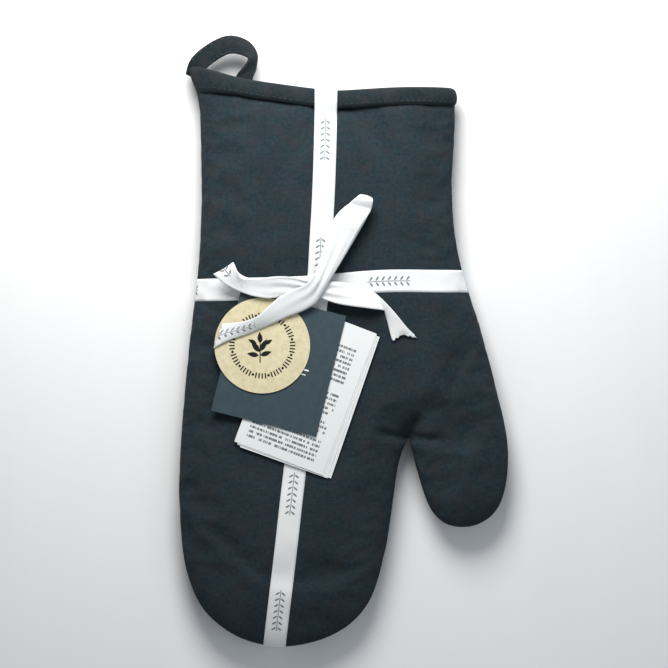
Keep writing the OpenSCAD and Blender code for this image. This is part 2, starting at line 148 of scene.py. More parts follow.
def skin_height(xy, depth=0.0):
    """Height above the seam of the surface that lies depth under the outer cloth."""
    u = np.clip((edge_distance(xy) - depth) / (EDGE_R - depth), 0, 1)
    return (HALF - depth) * np.sqrt(1 - (1 - u) ** 2)


def beyond_fold(xy):
    """True for points of the thumb, past the line from the crotch to the fold's upper end."""
    along = (FOLD_TOP - CROTCH) * MM
    normal = np.array([along[1], -along[0]])
    past = (xy - CROTCH * MM) @ normal > 0
    return past & (xy[:, 0] > 36.3 * MM) & (xy[:, 1] < FOLD_TOP[1] * MM + 1e-6)


# ---- Mesh helpers ----


def new_object(name, verts, faces, smooth=True):
    mesh = bpy.data.meshes.new(name)
    mesh.from_pydata([tuple(v) for v in verts], [], [tuple(f) for f in faces])
    mesh.validate()
    mesh.update()
    obj = bpy.data.objects.new(name, mesh)
    bpy.context.scene.collection.objects.link(obj)
    if smooth:
        mesh.polygons.foreach_set("use_smooth", [True] * len(mesh.polygons))
    return obj


def coords(obj, what="co"):
    out = np.empty(len(obj.data.vertices) * 3)
    obj.data.vertices.foreach_get(what, out)
    return out.reshape(-1, 3)


def set_coords(obj, co):
    obj.data.vertices.foreach_set("co", np.ascontiguousarray(co, float).ravel())
    obj.data.update()


def normals(obj):
    return coords(obj, "normal")


def apply_modifiers(obj):
    mesh = bpy.data.meshes.new_from_object(obj.evaluated_get(bpy.context.evaluated_depsgraph_get()))
    old = obj.data
    obj.modifiers.clear()
    obj.data = mesh
    bpy.data.meshes.remove(old)
    return obj


def subdivide(obj):
    mod = obj.modifiers.new("Subdivision", "SUBSURF")
    mod.levels = mod.render_levels = 1
    return apply_modifiers(obj)


def thicken(obj, thickness, offset=1.0):
    mod = obj.modifiers.new("Thickness", "SOLIDIFY")
    mod.thickness, mod.offset, mod.use_even_offset = thickness, offset, False
    return apply_modifiers(obj)


def bevel(obj, width):
    mod = obj.modifiers.new("Bevel", "BEVEL")
    mod.width, mod.segments, mod.limit_method = width, 2, "ANGLE"
    return apply_modifiers(obj)


def set_uv(obj, per_vertex):
    layer = obj.data.uv_layers.new(name="UVMap")
    loops = np.empty(len(obj.data.loops), np.int32)
    obj.data.loops.foreach_get("vertex_index", loops)
    layer.data.foreach_set("uv", np.asarray(per_vertex, float)[loops].ravel())


def flat_uv(obj):
    set_uv(obj, coords(obj)[:, :2])


def give(obj, mat):
    obj.data.materials.clear()
    obj.data.materials.append(mat)
    return obj


def grid_faces(rows, columns, closed_rows=False, closed_columns=False, base=0):
    """Four-sided faces between the points of a grid that is stored row by row."""
    faces = []
    for i in range(rows if closed_rows else rows - 1):
        here, there = base + i * columns, base + (i + 1) % rows * columns
        for k in range(columns if closed_columns else columns - 1):
            right = (k + 1) % columns
            faces.append((here + k, here + right, there + right, there + k))
    return faces


def loop_edges(first, count):
    return [(first + i, first + (i + 1) % count) for i in range(count)]


def triangulate(points, edges):
    """Points and upward triangles of a flat mesh that keeps the given edges."""
    out = delaunay_2d_cdt([Vector(p) for p in points], edges, [], 1, 1e-7)
    xy = np.array([tuple(v) for v in out[0]])
    faces = []
    for f in out[2]:
        a, b, c = xy[list(f)]
        turn = (b[0] - a[0]) * (c[1] - a[1]) - (b[1] - a[1]) * (c[0] - a[0])
        faces.append(tuple(f) if turn > 0 else tuple(f[::-1]))
    return xy, faces


def lattice(low, high, step_x, step_y, stagger=0.0):
    """Rows of points between two corners, every other row moved along by stagger."""
    x, y = np.meshgrid(np.arange(low[0], high[0], step_x), np.arange(low[1], high[1], step_y))
    x[1::2] += stagger
    return np.stack([x.ravel(), y.ravel()], axis=1)


def circle(radius, count):
    """Points on a circle about the origin."""
    return [(radius * math.cos(a), radius * math.sin(a))
            for a in np.linspace(0, 2 * math.pi, count, endpoint=False)]


def part_of(name, co, faces):
    """A new object with only the points that the faces use, and the list of those points."""
    used = sorted({v for f in faces for v in f})
    index = {v: i for i, v in enumerate(used)}
    return new_object(name, co[used], [tuple(index[v] for v in f) for f in faces]), used


# ---- Materials ----


class Value:
    """A node's output, which takes part in sums as a number does."""

    def __init__(self, nodes, socket):
        self.nodes, self.socket = nodes, socket

    def __add__(self, other):
        return self.nodes.math("ADD", self, other)

    def __sub__(self, other):
        return self.nodes.math("SUBTRACT", self, other)

    def __rsub__(self, other):
        return self.nodes.math("SUBTRACT", other, self)

    def __mul__(self, other):
        return self.nodes.math("MULTIPLY", self, other)

    def __truediv__(self, other):
        return self.nodes.math("DIVIDE", self, other)

    def __mod__(self, other):
        return self.nodes.math("FLOORED_MODULO", self, other)

    def __pow__(self, other):
        return self.nodes.math("POWER", self, other)

    def __abs__(self):
        return self.nodes.math("ABSOLUTE", self)

    def __gt__(self, other):
        return self.nodes.math("GREATER_THAN", self, other)

    def __lt__(self, other):
        return self.nodes.math("LESS_THAN", self, other)


class Nodes:
    """A short way to write a material's node tree."""

    def __init__(self, name):
        self.mat = bpy.data.materials.new(name)
        self.mat.use_nodes = True
        self.tree = self.mat.node_tree

    def put(self, kind, inputs=(), **settings):
        """Adds a node and returns its outputs."""
        node = self.tree.nodes.new(kind)
        for k, v in settings.items():
            setattr(node, k, v)
        for k, v in dict(inputs).items():
            self.feed(node.inputs[k], v)
        return [Value(self, socket) for socket in node.outputs]

    def feed(self, socket, value):
        if isinstance(value, Value):
            self.tree.links.new(value.socket, socket)
        else:
            socket.default_value = value

    def shader(self, colour, rough, specular, normal, sheen=0.0):
        """Fills in the material's shader and returns the material."""
        sockets = self.tree.nodes["Principled BSDF"].inputs
        for name, value in (("Base Color", colour), ("Roughness", rough), ("Specular IOR Level", specular),
                            ("Sheen Weight", sheen), ("Normal", normal)):
            self.feed(sockets[name], value)
        return self.mat

    def math(self, op, a, b=0.0):
        return self.put("ShaderNodeMath", {0: a, 1: b, 2: 0.0}, operation=op)[0]

    def uv(self):
        return self.put("ShaderNodeUVMap", uv_map="UVMap")[0]

    def split(self, vector):
        return self.put("ShaderNodeSeparateXYZ", {0: vector})

    def noise(self, vector, scale, detail=3.0, stretch=(1, 1, 1), offset=(0, 0, 0)):
        moved = self.put("ShaderNodeMapping", {"Vector": vector, "Scale": stretch, "Location": offset})[0]
        return self.put("ShaderNodeTexNoise", {"Vector": moved, "Scale": scale, "Detail": detail})[0]

    def ramp(self, fac, low, high):
        return self.put("ShaderNodeMapRange", {"Value": fac, "From Min": low, "From Max": high})[0]

    def mix(self, fac, a, b):
        """Two colours mixed: sockets 6, 7 and 2 are the node's colour sockets."""
        return self.put("ShaderNodeMix", {0: fac, 6: a, 7: b}, data_type="RGBA")[2]

    def bump(self, height, distance, strength=1.0, **normal):
        inputs = {"Height": height, "Distance": distance, "Strength": strength, **normal}
        return self.put("ShaderNodeBump", inputs)[0]

    def weave(self, vector, pitch):
        """Plain weave: threads that pass over and under each other. Returns its height from 0 to 1."""
        x, y, _ = self.split(vector)
        u, v = x / pitch, y / pitch
        row = (self.math("FLOOR", u) + self.math("FLOOR", v)) % 2.0
        warp = self.math("SINE", self.math("FRACT", u) * math.pi)
        weft = self.math("SINE", self.math("FRACT", v) * math.pi)
        over, under = warp * (weft * 0.45 + 0.55), weft * (warp * 0.45 + 0.55)
        return over * row + under * (1.0 - row)


def rgb(r, g, b):
    """A screen colour from 0 to 255 as the linear colour that a shader takes."""
    lin = [c / 255 / 12.92 if c / 255 <= 0.04045 else ((c / 255 + 0.055) / 1.055) ** 2.4 for c in (r, g, b)]
    return (*lin, 1.0)


def woven(name, dark, light, pitch=0.5 * MM, slub=1.0):
    """Slubbed plain-weave cloth, with threads that vary in shade along their length."""
    n = Nodes(name)
    uv = n.uv()
    weave = n.weave(uv, pitch)
    across = n.noise(uv, 1500, 2.0, stretch=(0.05, 1.0, 1))
    down = n.noise(uv, 1500, 2.0, stretch=(1.0, 0.05, 1), offset=(3, 5, 0))
    threads = across * 0.6 + down * 0.4
    broad = n.noise(uv, 60, 4.0, offset=(1, 2, 0))
    mottle = n.noise(uv, 520, 5.0, offset=(7, 4, 0))
    # The weave's height also lightens the threads' crowns and darkens the gaps between them: painted shade in
    # the weave's hollows.
    shade = (n.ramp(threads, 0.3, 0.7) - 0.5) * (slub * 0.32) + 0.40 + weave * 0.12
    shade = shade + (broad - 0.5) * 0.5 + (mottle - 0.5) * 0.95
    heather = n.ramp(n.noise(uv, 130, 6.0, offset=(2, 9, 0)), 0.42, 0.68) * 0.5
    warm_thread = (0.055, 0.052, 0.054, 1)
    colour = n.mix(heather, n.mix(shade, dark, light), warm_thread)
    relief = n.bump(weave + threads * 1.4, 0.10 * MM)
    fuzz = n.bump(n.noise(uv, 420, 4.0), 0.25 * MM, 0.35, Normal=relief)
    return n.shader(colour, 0.92, 0.15, fuzz, sheen=0.05)


def plain(name, dark, light, scale, rough=0.85, depth=0.05 * MM, sheen=0.0):
    """Paper, board, thread or padding: mottled colour and a fine tooth."""
    n = Nodes(name)
    at = n.put("ShaderNodeTexCoord")[3]  # the object's own coordinates
    fibre = n.noise(at, scale * 9, 3.0, stretch=(1, 0.35, 1))
    both = n.noise(at, scale, 5.0) * 0.6 + fibre * 0.4
    return n.shader(n.mix(n.ramp(both, 0.32, 0.68), dark, light), rough, 0.3, n.bump(fibre, depth), sheen)


def sprigs(n, uv):
    """Where the ribbon is inked: a stem with pairs of leaves, once every 66 mm."""
    u, v, _ = n.split(uv)
    place, off = u % (66 * MM), abs(v)
    zone = (place > 20 * MM) * (place < 43.8 * MM)
    lean = place % (3.4 * MM) - 1.7 * MM - (off - 1.5 * MM) * 0.6
    along = (abs(lean) / (0.62 * MM)) ** 2.0
    across = (abs(off - 1.6 * MM) / (1.15 * MM)) ** 2.0
    return zone * n.math("MAXIMUM", along + across < 1.0, off < 0.22 * MM)


def ribbon_material(name, printed=True):
    """White cotton ribbon: a fine weave and, where printed, sprigs in grey ink instead of lettering."""
    n = Nodes(name)
    uv = n.uv()
    weave = n.weave(uv, 0.34 * MM)
    # The weave's height lightens the threads' crowns and darkens the gaps between them: painted shade in the
    # weave's hollows.
    cloth = n.mix(weave * 0.55 + n.noise(uv, 90, 4.0) * 0.6, rgb(230, 234, 236), rgb(249, 250, 249))
    if printed:
        cloth = n.mix(sprigs(n, uv) * 0.8, cloth, rgb(84, 98, 106))
    return n.shader(cloth, 0.8, 0.3, n.bump(weave, 0.06 * MM), sheen=0.15)


OUTER = woven("outer_cloth", rgb(34, 47, 54), rgb(65, 79, 86), slub=0.8)
BINDING = woven("binding_cloth", rgb(29, 40, 45), rgb(58, 70, 75), slub=0.5)
TAPE = woven("loop_tape", rgb(26, 36, 40), rgb(52, 63, 68), slub=0.5)
LINING = woven("lining_cloth", rgb(52, 60, 66), rgb(74, 82, 88), pitch=0.4 * MM, slub=0.4)
BATTING = plain("batting", rgb(222, 218, 206), rgb(246, 243, 236), 160, 0.95, 0.6 * MM, 0.4)
THREAD = plain("thread", rgb(38, 49, 55), rgb(66, 77, 84), 900, 0.7, 0.05 * MM, 0.2)
RIBBON = ribbon_material("ribbon")
RIBBON_PLAIN = ribbon_material("ribbon_plain", printed=False)
KRAFT = plain("kraft_board", rgb(206, 196, 163), rgb(230, 221, 190), 420, 0.9, 0.06 * MM)
SLATE = plain("slate_card", rgb(66, 82, 88), rgb(75, 91, 98), 300, 0.75, 0.03 * MM)
PAPER = plain("leaflet_paper", rgb(226, 231, 230), rgb(240, 243, 242), 240, 0.8, 0.02 * MM)
INK = plain("print_black", rgb(24, 26, 26), rgb(44, 46, 46), 500, 0.7, 0.02 * MM)

# ---- Camera, light and floor ----


def make_camera():
    """Straight above the mitt, as in the photograph."""
    data = bpy.data.cameras.new("camera")
    cam = bpy.data.objects.new("camera", data)
    bpy.context.scene.collection.objects.link(cam)
    height, view_width = 1.5, 370.7 * MM
    data.sensor_width = 36
    data.lens = 36 * (height - TOP) / view_width
    cam.location = (-5.3 * MM, 3.2 * MM, height)
    cam.rotation_euler = (0, 0, 0)
    data.clip_start, data.clip_end = 0.01, 20
    bpy.context.scene.camera = cam


def area_light(name, place, target, size, power, colour):
    data = bpy.data.lights.new(name, "AREA")
    data.shape = "DISK"
    data.size = size
    data.energy = power
    data.color = colour
    lamp = bpy.data.objects.new(name, data)
    bpy.context.scene.collection.objects.link(lamp)
    lamp.location = place
    lamp.rotation_euler = (Vector(target) - Vector(place)).to_track_quat("-Z", "Y").to_euler()


def make_room():
    bpy.context.scene.view_settings.view_transform = "Standard"
    bpy.context.scene.view_settings.look = "Medium High Contrast"
    area_light("key", (-0.05, 0.37, 0.35), (0, 0.06, 0), 0.30, 2.5, (1.0, 0.985, 0.96))
    area_light("fill", (0.5, -0.3, 0.9), (0, 0, 0), 0.9, 1.2, (0.80, 0.90, 1.0))
    world = bpy.data.worlds.new("soft_room")
    world.use_nodes = True
    world.node_tree.nodes["Background"].inputs[0].default_value = (0.93, 0.96, 1.0, 1)
    world.node_tree.nodes["Background"].inputs[1].default_value = 0.25
    bpy.context.scene.world = world
    floor = new_object("floor", [(x, y, 0) for x, y in corners(4, 4)], [(0, 1, 2, 3)], smooth=False)
    give(floor, plain("floor_pale", rgb(244, 245, 246), rgb(249, 250, 250), 3, 0.7))


# ---- The padded mitt ----


PATTERN_STEP = 3 * MM
CUFF_DROP = 3.5 * MM


def pattern_edge():
    """The flat pattern's outline, how many points the hand and both sides have, and the fold's two ends."""
    xs = CUFF_CURVE[:, 0]
    keep = (xs > HAND_CURVE[0, 0] + PATTERN_STEP) & (xs < THUMB_CURVE[-1, 0] - PATTERN_STEP)
    top = np.stack([xs[keep], CUFF_CURVE[keep, 1] - CUFF_DROP], axis=1)[::-1]
    hand, thumb = HAND_CURVE.copy(), THUMB_CURVE.copy()
    hand[0, 1] = cuff_edge_y(hand[0, 0]) - CUFF_DROP
    thumb[-1, 1] = cuff_edge_y(thumb[-1, 0]) - CUFF_DROP
    fold_end = thumb[np.argmin(np.linalg.norm(thumb - FOLD_TOP * MM, axis=1))]
    return np.vstack([hand, thumb[1:], top]), len(hand), len(hand) + len(thumb) - 1, CROTCH * MM, fold_end


def pattern_rings(loop, n_side):
    """Points close inside the sewn edge, where the padding curves most."""
    tangent = np.roll(loop, -1, axis=0) - np.roll(loop, 1, axis=0)
    inward = unit(np.stack([-tangent[:, 1], tangent[:, 0]], axis=1))
    rings = []
    for depth in (0.9 * MM, 2.4 * MM, 4.8 * MM):
        ring = (loop + inward * depth)[1:n_side - 1]
        rings.append(ring[(np.abs(edge_distance(ring) - depth) < 0.25 * depth) & inside(ring, loop)])
    return rings


def pattern_middle(loop):
    """An even, staggered lattice over the rest of the pattern."""
    step = PATTERN_STEP
    points = lattice((-94 * MM, -173 * MM), (94 * MM, 156 * MM), step, step * 0.87, step / 2)
    points = points[inside(points, loop)]
    points = points[edge_distance(points) > 7 * MM]
    return points[points[:, 1] <= cuff_edge_y(points[:, 0]) - 5.5 * MM]


def panel_layout():
    """Points and triangles of the flat pattern, with edges along the thumb's fold."""
    loop, n_hand, n_side, fold_a, fold_b = pattern_edge()
    fold_length = np.linalg.norm(fold_b - fold_a)
    count = int(fold_length / PATTERN_STEP)
    fold = np.array([fold_a + (fold_b - fold_a) * k / count for k in range(1, count)])
    free = np.vstack(pattern_rings(loop, n_side) + [pattern_middle(loop)])
    d = (fold_b - fold_a) / fold_length
    off, along = np.abs((free - fold_a) @ np.array([d[1], -d[0]])), (free - fold_a) @ d
    free = free[~((off < 1.5 * MM) & (along > -1 * MM) & (along < fold_length + 1 * MM))]
    chain = [n_hand - 1, *range(len(loop), len(loop) + len(fold))]
    chain.append(int(np.argmin(np.linalg.norm(loop - fold_b, axis=1))))
    edges = loop_edges(0, len(loop)) + list(zip(chain[:-1], chain[1:]))
    return triangulate(np.vstack([loop, fold, free]), edges)


PATTERN = panel_layout()


def build_padding():
    """The whole mitt's outer skin, front and back, joined round the seam and open at the cuff."""
    xy, faces = PATTERN
    rim = edge_distance(xy) < 0.05 * MM
    height = skin_height(xy) * 0.86
    fresh = np.flatnonzero(~rim)
    back_index = np.arange(len(xy))
    back_index[fresh] = len(xy) + np.arange(len(fresh))
    front = np.column_stack([xy, np.where(rim, SEAM_Z, SEAM_Z + height)])
    back = np.column_stack([xy[fresh], SEAM_Z - height[fresh]])
    back_faces = [tuple(int(back_index[i]) for i in f[::-1]) for f in faces]
    obj = new_object("mitt_skin", np.vstack([front, back]), faces + back_faces)
    flat_uv(obj)
    return obj


def puff(obj, pinned):
    """Inflates the skin as cloth with its seam held, so that it wrinkles as two sewn flat panels do."""
    frames, furthest = 14, 3.5 * MM
    start = coords(obj)
    group = obj.vertex_groups.new(name="pin")
    group.add([int(i) for i in np.flatnonzero(pinned)], 1.0, "REPLACE")
    mod = obj.modifiers.new("Cloth", "CLOTH")
    s = mod.settings
    s.quality, s.mass, s.bending_stiffness, s.shear_stiffness = 6, 0.25, 0.6, 6
    s.tension_stiffness = s.compression_stiffness = 12
    s.use_pressure, s.uniform_pressure_force, s.shrink_min = True, 2.5, -0.015
    s.vertex_group_mass = "pin"
    s.effector_weights.gravity = 0
    mod.collision_settings.use_collision = False
    mod.point_cache.frame_start, mod.point_cache.frame_end = 1, frames
    scene = bpy.context.scene
    for f in range(1, frames + 1):
        scene.frame_set(f)
    mesh = obj.evaluated_get(bpy.context.evaluated_depsgraph_get()).to_mesh()
    moved = np.empty(len(mesh.vertices) * 3)
    mesh.vertices.foreach_get("co", moved)
    shift = moved.reshape(-1, 3) - start
    size = np.linalg.norm(shift, axis=1)
    shift *= np.minimum(1, furthest / np.maximum(size, 1e-9))[:, None]
    obj.modifiers.clear()
    obj.vertex_groups.clear()
    set_coords(obj, start + shift)
    scene.frame_set(1)


def soft_step(x):
    x = np.clip(x, 0, 1)
    return x * x * (3 - 2 * x)


def to_line(xy, a, b):
    """Distance to a segment between two points in millimetres, and how far along it, from 0 to 1."""
    a, b = np.array(a) * MM, np.array(b) * MM
    u = np.clip(((xy - a) @ (b - a)) / ((b - a) @ (b - a)), 0, 1)
    return np.linalg.norm(xy - a - u[:, None] * (b - a), axis=1), u


# From, to, depth and width, in millimetres
CREASES = [((36, -55.4), (14, -50.5), 2.6, 2.6), ((36, -55), (61, -55.8), 2.1, 2.4),
           ((36, -54), (42, -40), 2.9, 2.6), ((40, -46), (59, -33), 1.1, 4.0),
           ((33, -52), (18, -32), 1.4, 6.0), ((62, -10), (77, 5), 0.7, 5.0), ((70, 28), (56, 24), 0.7, 3.5),
           ((-82, 36), (-66, 38), 0.7, 3.5), ((-81, 20), (-68, 17), 0.7, 3.5), ((61, 44), (50, 47), 0.5, 3.5),
           ((-28, -165), (-20, -150), 0.6, 3.5), ((-50, -166), (-52, -152), 0.6, 3.5)]
RIBBON_LINES = [((-9.7, 139), (-14.5, 29)), ((-14.5, 29), (-38.6, -171)), ((-83, 27.8), (-14.5, 30)),
                ((-14.5, 30), (69, 32.8))]


def creases(xy):
    """Depth of the creases at the thumb and of the dents under the ribbon."""
    drop = np.zeros(len(xy))
    for a, b, depth, width in CREASES:
        d, u = to_line(xy, a, b)
        drop += depth * MM * soft_step((1 - u) * 2.2) * np.exp(-((d / (width * MM)) ** 2))
    for a, b in RIBBON_LINES:
        d, _ = to_line(xy, a, b)
        drop += 0.9 * MM * (1 - soft_step((d - 4.5 * MM) / (5.5 * MM)))
    return drop


def gathers(xy):
    """Depth of the ditch and of the small gathers under the binding."""
    below = cuff_edge_y(xy[:, 0]) - 9.5 * MM - xy[:, 1]
    ripple = np.sin(xy[:, 0] / (3.1 * MM) + 1.7 * np.sin(xy[:, 0] / (9 * MM)))
    fade = np.exp(-np.clip(below, 0, None) / (6 * MM)) * (below > -1 * MM)
    return 0.35 * MM * (1 + ripple) * fade + 1.2 * MM * np.exp(-((below / (3.0 * MM)) ** 2))


def unevenness(xy):
    """Broad waves, fine puckers, and ripples along the seam."""
    x, y = xy.T
    wave = np.sin(x / (23 * MM) + 0.8) * np.sin(y / (31 * MM) + 0.4) + 0.6 * np.sin((x + y) / (17 * MM))
    pucker = np.sin(x / (4.3 * MM) + 2 * np.sin(y / (13 * MM)))
    pucker *= np.sin(y / (5.1 * MM) + 2 * np.sin(x / (11 * MM)))
    run = np.arctan2(y + 20 * MM, x + 20 * MM)
    seam = np.sin(run * 61 + 3 * np.sin(run * 7)) * np.exp(-edge_distance(xy) / (7 * MM))
    return (0.36 * wave + 0.13 * pucker + 0.30 * seam) * MM


def soft_above(z, floor):
    """Heights kept above a floor, without a sharp edge where they meet it."""
    soft = 0.5 * MM
    return floor + soft * np.log1p(np.exp(np.clip((z - floor) / soft, -60, 60)))


def shape_detail(obj):
    """Presses the details into the final mesh, and keeps it under the tags and above the table."""
    co = coords(obj)
    xy, lift = co[:, :2], co[:, 2] - SEAM_Z
    drop = creases(xy) + gathers(xy) + unevenness(xy)
    co[:, 2] -= np.sign(lift) * drop * soft_step(np.abs(lift) / (5 * MM))
    under_tags = (xy - np.array([-31, -19]) * MM) / (np.array([50, 60]) * MM)
    pressed = 1 - soft_step((np.linalg.norm(under_tags, axis=1) - 0.95) / 0.3)
    limit = TOP + (0.9 - 1.35 * pressed) * MM
    co[:, 2] = -soft_above(-co[:, 2], -limit)
    co[:, 2] = soft_above(co[:, 2], 0.9 * MM)
    set_coords(obj, co)


def split_at_fold(obj, hand_name, thumb_name):
    """The hand's part and the thumb's, which share their cut edge and are shaded as one surface."""
    co, normal = coords(obj), normals(obj)
    polygons, uv = obj.data.polygons, obj.data.uv_layers[0].data
    past = beyond_fold(np.array([np.mean([uv[k].uv for k in p.loop_indices], axis=0) for p in polygons]))
    uv_of = {v: tuple(uv[k].uv) for p in polygons for v, k in zip(p.vertices, p.loop_indices)}
    out = []
    for name, wanted in ((hand_name, False), (thumb_name, True)):
        piece, used = part_of(name, co, [tuple(p.vertices) for p, k in zip(polygons, past) if k == wanted])
        set_uv(piece, [uv_of[v] for v in used])
        give(piece, OUTER)
        piece.data.normals_split_custom_set_from_vertices([tuple(normal[v]) for v in used])
        out.append(piece)
    bpy.data.objects.remove(obj)
    return out


def make_mitt():
    skin = build_padding()
    co = coords(skin)
    rim = edge_distance(co[:, :2]) < 0.05 * MM
    cuff = co[:, 1] > cuff_edge_y(co[:, 0]) - 9 * MM
    puff(skin, rim | cuff)
    subdivide(skin)
    shape_detail(skin)
    shell = coords(skin), [tuple(p.vertices) for p in skin.data.polygons]
    batting = inner_copy(skin, 1.3 * MM)
    hand, thumb = split_at_fold(skin, "mitt_outer_cloth", "thumb_outer_cloth")
    return hand, thumb, batting, shell


def inner_copy(skin, depth):
    """A copy of the skin, sunk by depth, for the layer under it, split in the hand's part and the thumb's."""
    copy = skin.copy()
    copy.data = skin.data.copy()
    bpy.context.scene.collection.objects.link(copy)
    co = coords(copy)
    near, pull = np.zeros(len(co)), np.zeros(len(co))
    for corner, inward in ((CROTCH * MM, 0.0), (HAND_CURVE[0], 1.6 * MM), (THUMB_CURVE[-1], -1.6 * MM)):
        close = 1 - soft_step((np.linalg.norm(co[:, :2] - corner, axis=1) / MM - 7) / 6)
        near = np.maximum(near, close)
        pull += inward * close
    moved = co - normals(copy) * depth
    flat = np.column_stack([co[:, 0] + pull, co[:, 1], SEAM_Z + (co[:, 2] - SEAM_Z) * 0.4])
    set_coords(copy, moved + (flat - moved) * near[:, None])
    a, b = split_at_fold(copy, "mitt_batting", "thumb_batting")
    return give(a, BATTING), give(b, BATTING)


def make_lining():
    """The inner bag that the hand goes into, open at the cuff."""
    xy, faces = PATTERN
    h = skin_height(xy, LINING_DEPTH)
    verts = np.vstack([np.column_stack([xy, SEAM_Z + sign * h]) for sign in (1, -1)])
    faces = [f for f in faces if min(h[i] for i in f) > 0.0 or max(h[i] for i in f) > 1.5 * MM]
    past = beyond_fold(np.array([xy[list(f)].mean(0) for f in faces]))
    pieces = []
    for name, wanted in (("mitt_lining", False), ("thumb_lining", True)):
        front = [f for f, k in zip(faces, past) if k == wanted]
        piece, _ = part_of(name, verts, front + [tuple(i + len(xy) for i in f[::-1]) for f in front])
        flat_uv(piece)
        pieces.append(give(piece, LINING))
    return pieces


# ---- Binding, stitches and loop ----


def cuff_ring(depth, below, count=220):
    """Points once round the cuff: depth under the skin, and below the cuff's top edge."""
    left, right = HAND_CURVE[0, 0] + 1.0 * MM + depth, THUMB_CURVE[-1, 0] - depth
    r, h = EDGE_R - depth, HALF - depth
    flat = (right - left) - 2 * r
    quarter = math.pi / 2 * (r + h) / 2 * 0.98
    total = 2 * flat + 4 * quarter
    side_y, side_x = HAND_CURVE[:8, 1][::-1], HAND_CURVE[:8, 0][::-1]
    out = []
    for s in (total * k / count for k in range(count)):
        if s < quarter:
            a = s / quarter * math.pi / 2
            x, z = right - r + r * math.cos(a), h * math.sin(a)
        elif s < quarter + flat:
            x, z = right - r - (s - quarter), h
        elif s < 3 * quarter + flat:
            a = math.pi / 2 + (s - quarter - flat) / (2 * quarter) * math.pi
            x, z = left + r + r * math.cos(a), h * math.sin(a)
        elif s < 3 * quarter + 2 * flat:
            x, z = left + r + (s - 3 * quarter - flat), -h
        else:
            a = 1.5 * math.pi + (s - 3 * quarter - 2 * flat) / quarter * math.pi / 2
            x, z = right - r + r * math.cos(a), h * math.sin(a)
        widen = 1 + 0.55 * max(0.0, (-60 * MM - x) / (27 * MM))
        y = float(cuff_edge_y(x)) - below * widen
        bend = float(np.interp(y, side_y, side_x)) - HAND_CURVE[0, 0]
        out.append((x + bend * min(1, max(0.0, (-55 * MM - x) / (33 * MM))), y, SEAM_Z + z))
    return np.array(out)


def make_binding():
    """One strip folded over the cuff edge: a full, rounded edge with a ditch where it is sewn."""
    section = [(0.9, 10.2), (0.1, 9.6), (-0.75, 8.6), (-1.15, 6.4), (-1.0, 4.0), (-0.4, 1.8), (0.9, 0.45),
               (2.6, 0.0), (4.4, 0.2), (5.9, 1.2), (6.9, 3.0), (7.35, 5.5), (7.3, 8.2), (6.9, 9.6),
               (6.2, 10.2)]
    rings = [cuff_ring(d * MM, b * MM) for d, b in section]
    n = len(rings[0])
    wobble = noise_rng.normal(0, 1, (n,))
    wobble = np.convolve(np.tile(wobble, 3), np.ones(9) / 9, "same")[n:2 * n]
    uv = []
    for i, ring in enumerate(rings):
        puffed = 0.22 * MM * wobble * math.sin(math.pi * i / (len(rings) - 1))
        ring[:, 2] += np.sign(ring[:, 2] - SEAM_Z) * puffed * (1 if i < 8 else -1)
        run = run_length(ring)
        uv.append(np.column_stack([run * 0.7 + i * 1.3 * MM, i * 1.3 * MM - run * 0.7]))
    obj = new_object("cuff_binding_strip", np.vstack(rings), grid_faces(len(rings), n, closed_columns=True))
    set_uv(obj, np.vstack(uv))
    subdivide(obj)
    return give(obj, BINDING)


def capsule_rows(name, places, length, width, height):
    """Many short stitches in one mesh: each place is (centre, direction, up)."""
    verts, faces = [], []
    ring = [2 * math.pi * k / 6 for k in range(6)]
    cuts = ((-1.0, 0.15), (-0.82, 0.7), (-0.4, 1.0), (0.4, 1.0), (0.82, 0.7), (1.0, 0.15))
    for centre, along, up in places:
        centre, along, up = Vector(centre), Vector(along).normalized(), Vector(up).normalized()
        side = along.cross(up)
        faces += grid_faces(len(cuts), len(ring), closed_columns=True, base=len(verts))
        for c, s in cuts:
            for a in ring:
                verts.append(centre + along * (c * length / 2) + side * (math.cos(a) * width / 2 * s)
                             + up * (math.sin(a) * height / 2 * s - (1 - s) * height * 0.4))
    return give(new_object(name, verts, faces), THREAD)


def make_binding_stitches():
    ring = cuff_ring(-0.72 * MM, 8.1 * MM, 400)
    run = run_length(ring)
    places = []
    for s in np.arange(1.5 * MM, run[-1], 3.1 * MM):
        p, q = (np.array([np.interp(at, run, column) for column in ring.T]) for at in (s, s + 1 * MM))
        lift = p[2] - SEAM_Z
        up = np.array([0, 0, np.sign(lift)])
        if abs(lift) <= HALF * 0.7:
            up = p - np.array([p[0] * 0.6, p[1], SEAM_Z])
        places.append((p, q - p, up))
    return capsule_rows("binding_stitches", places, 2.3 * MM, 0.5 * MM, 0.35 * MM)


def catmull(points, steps):
    """A smooth run through rows of numbers."""
    p = np.array(points, float)
    out = []
    for i in range(len(p) - 1):
        a, b, c, d = p[max(i - 1, 0)], p[i], p[i + 1], p[min(i + 2, len(p) - 1)]
        for u in np.linspace(0, 1, steps, endpoint=False):
            out.append(0.5 * (2 * b + (c - a) * u + (2 * a - 5 * b + 4 * c - d) * u ** 2
                              + (3 * b - 3 * c + d - a) * u ** 3))
    out.append(p[-1])
    return np.array(out)


def tape_frame(steps):
    """Along the loop's tape: centre, width, and the directions across, along and outwards."""
    run = catmull(LOOP_ROWS, steps)
    centre, across = run[:, :3] * MM, unit(run[:, 3:6])
    along = unit(np.gradient(centre, axis=0))
    out = np.cross(across, along)
    return centre, run[:, 6] * MM, across, along, out * np.sign(out[len(out) // 2, 2])


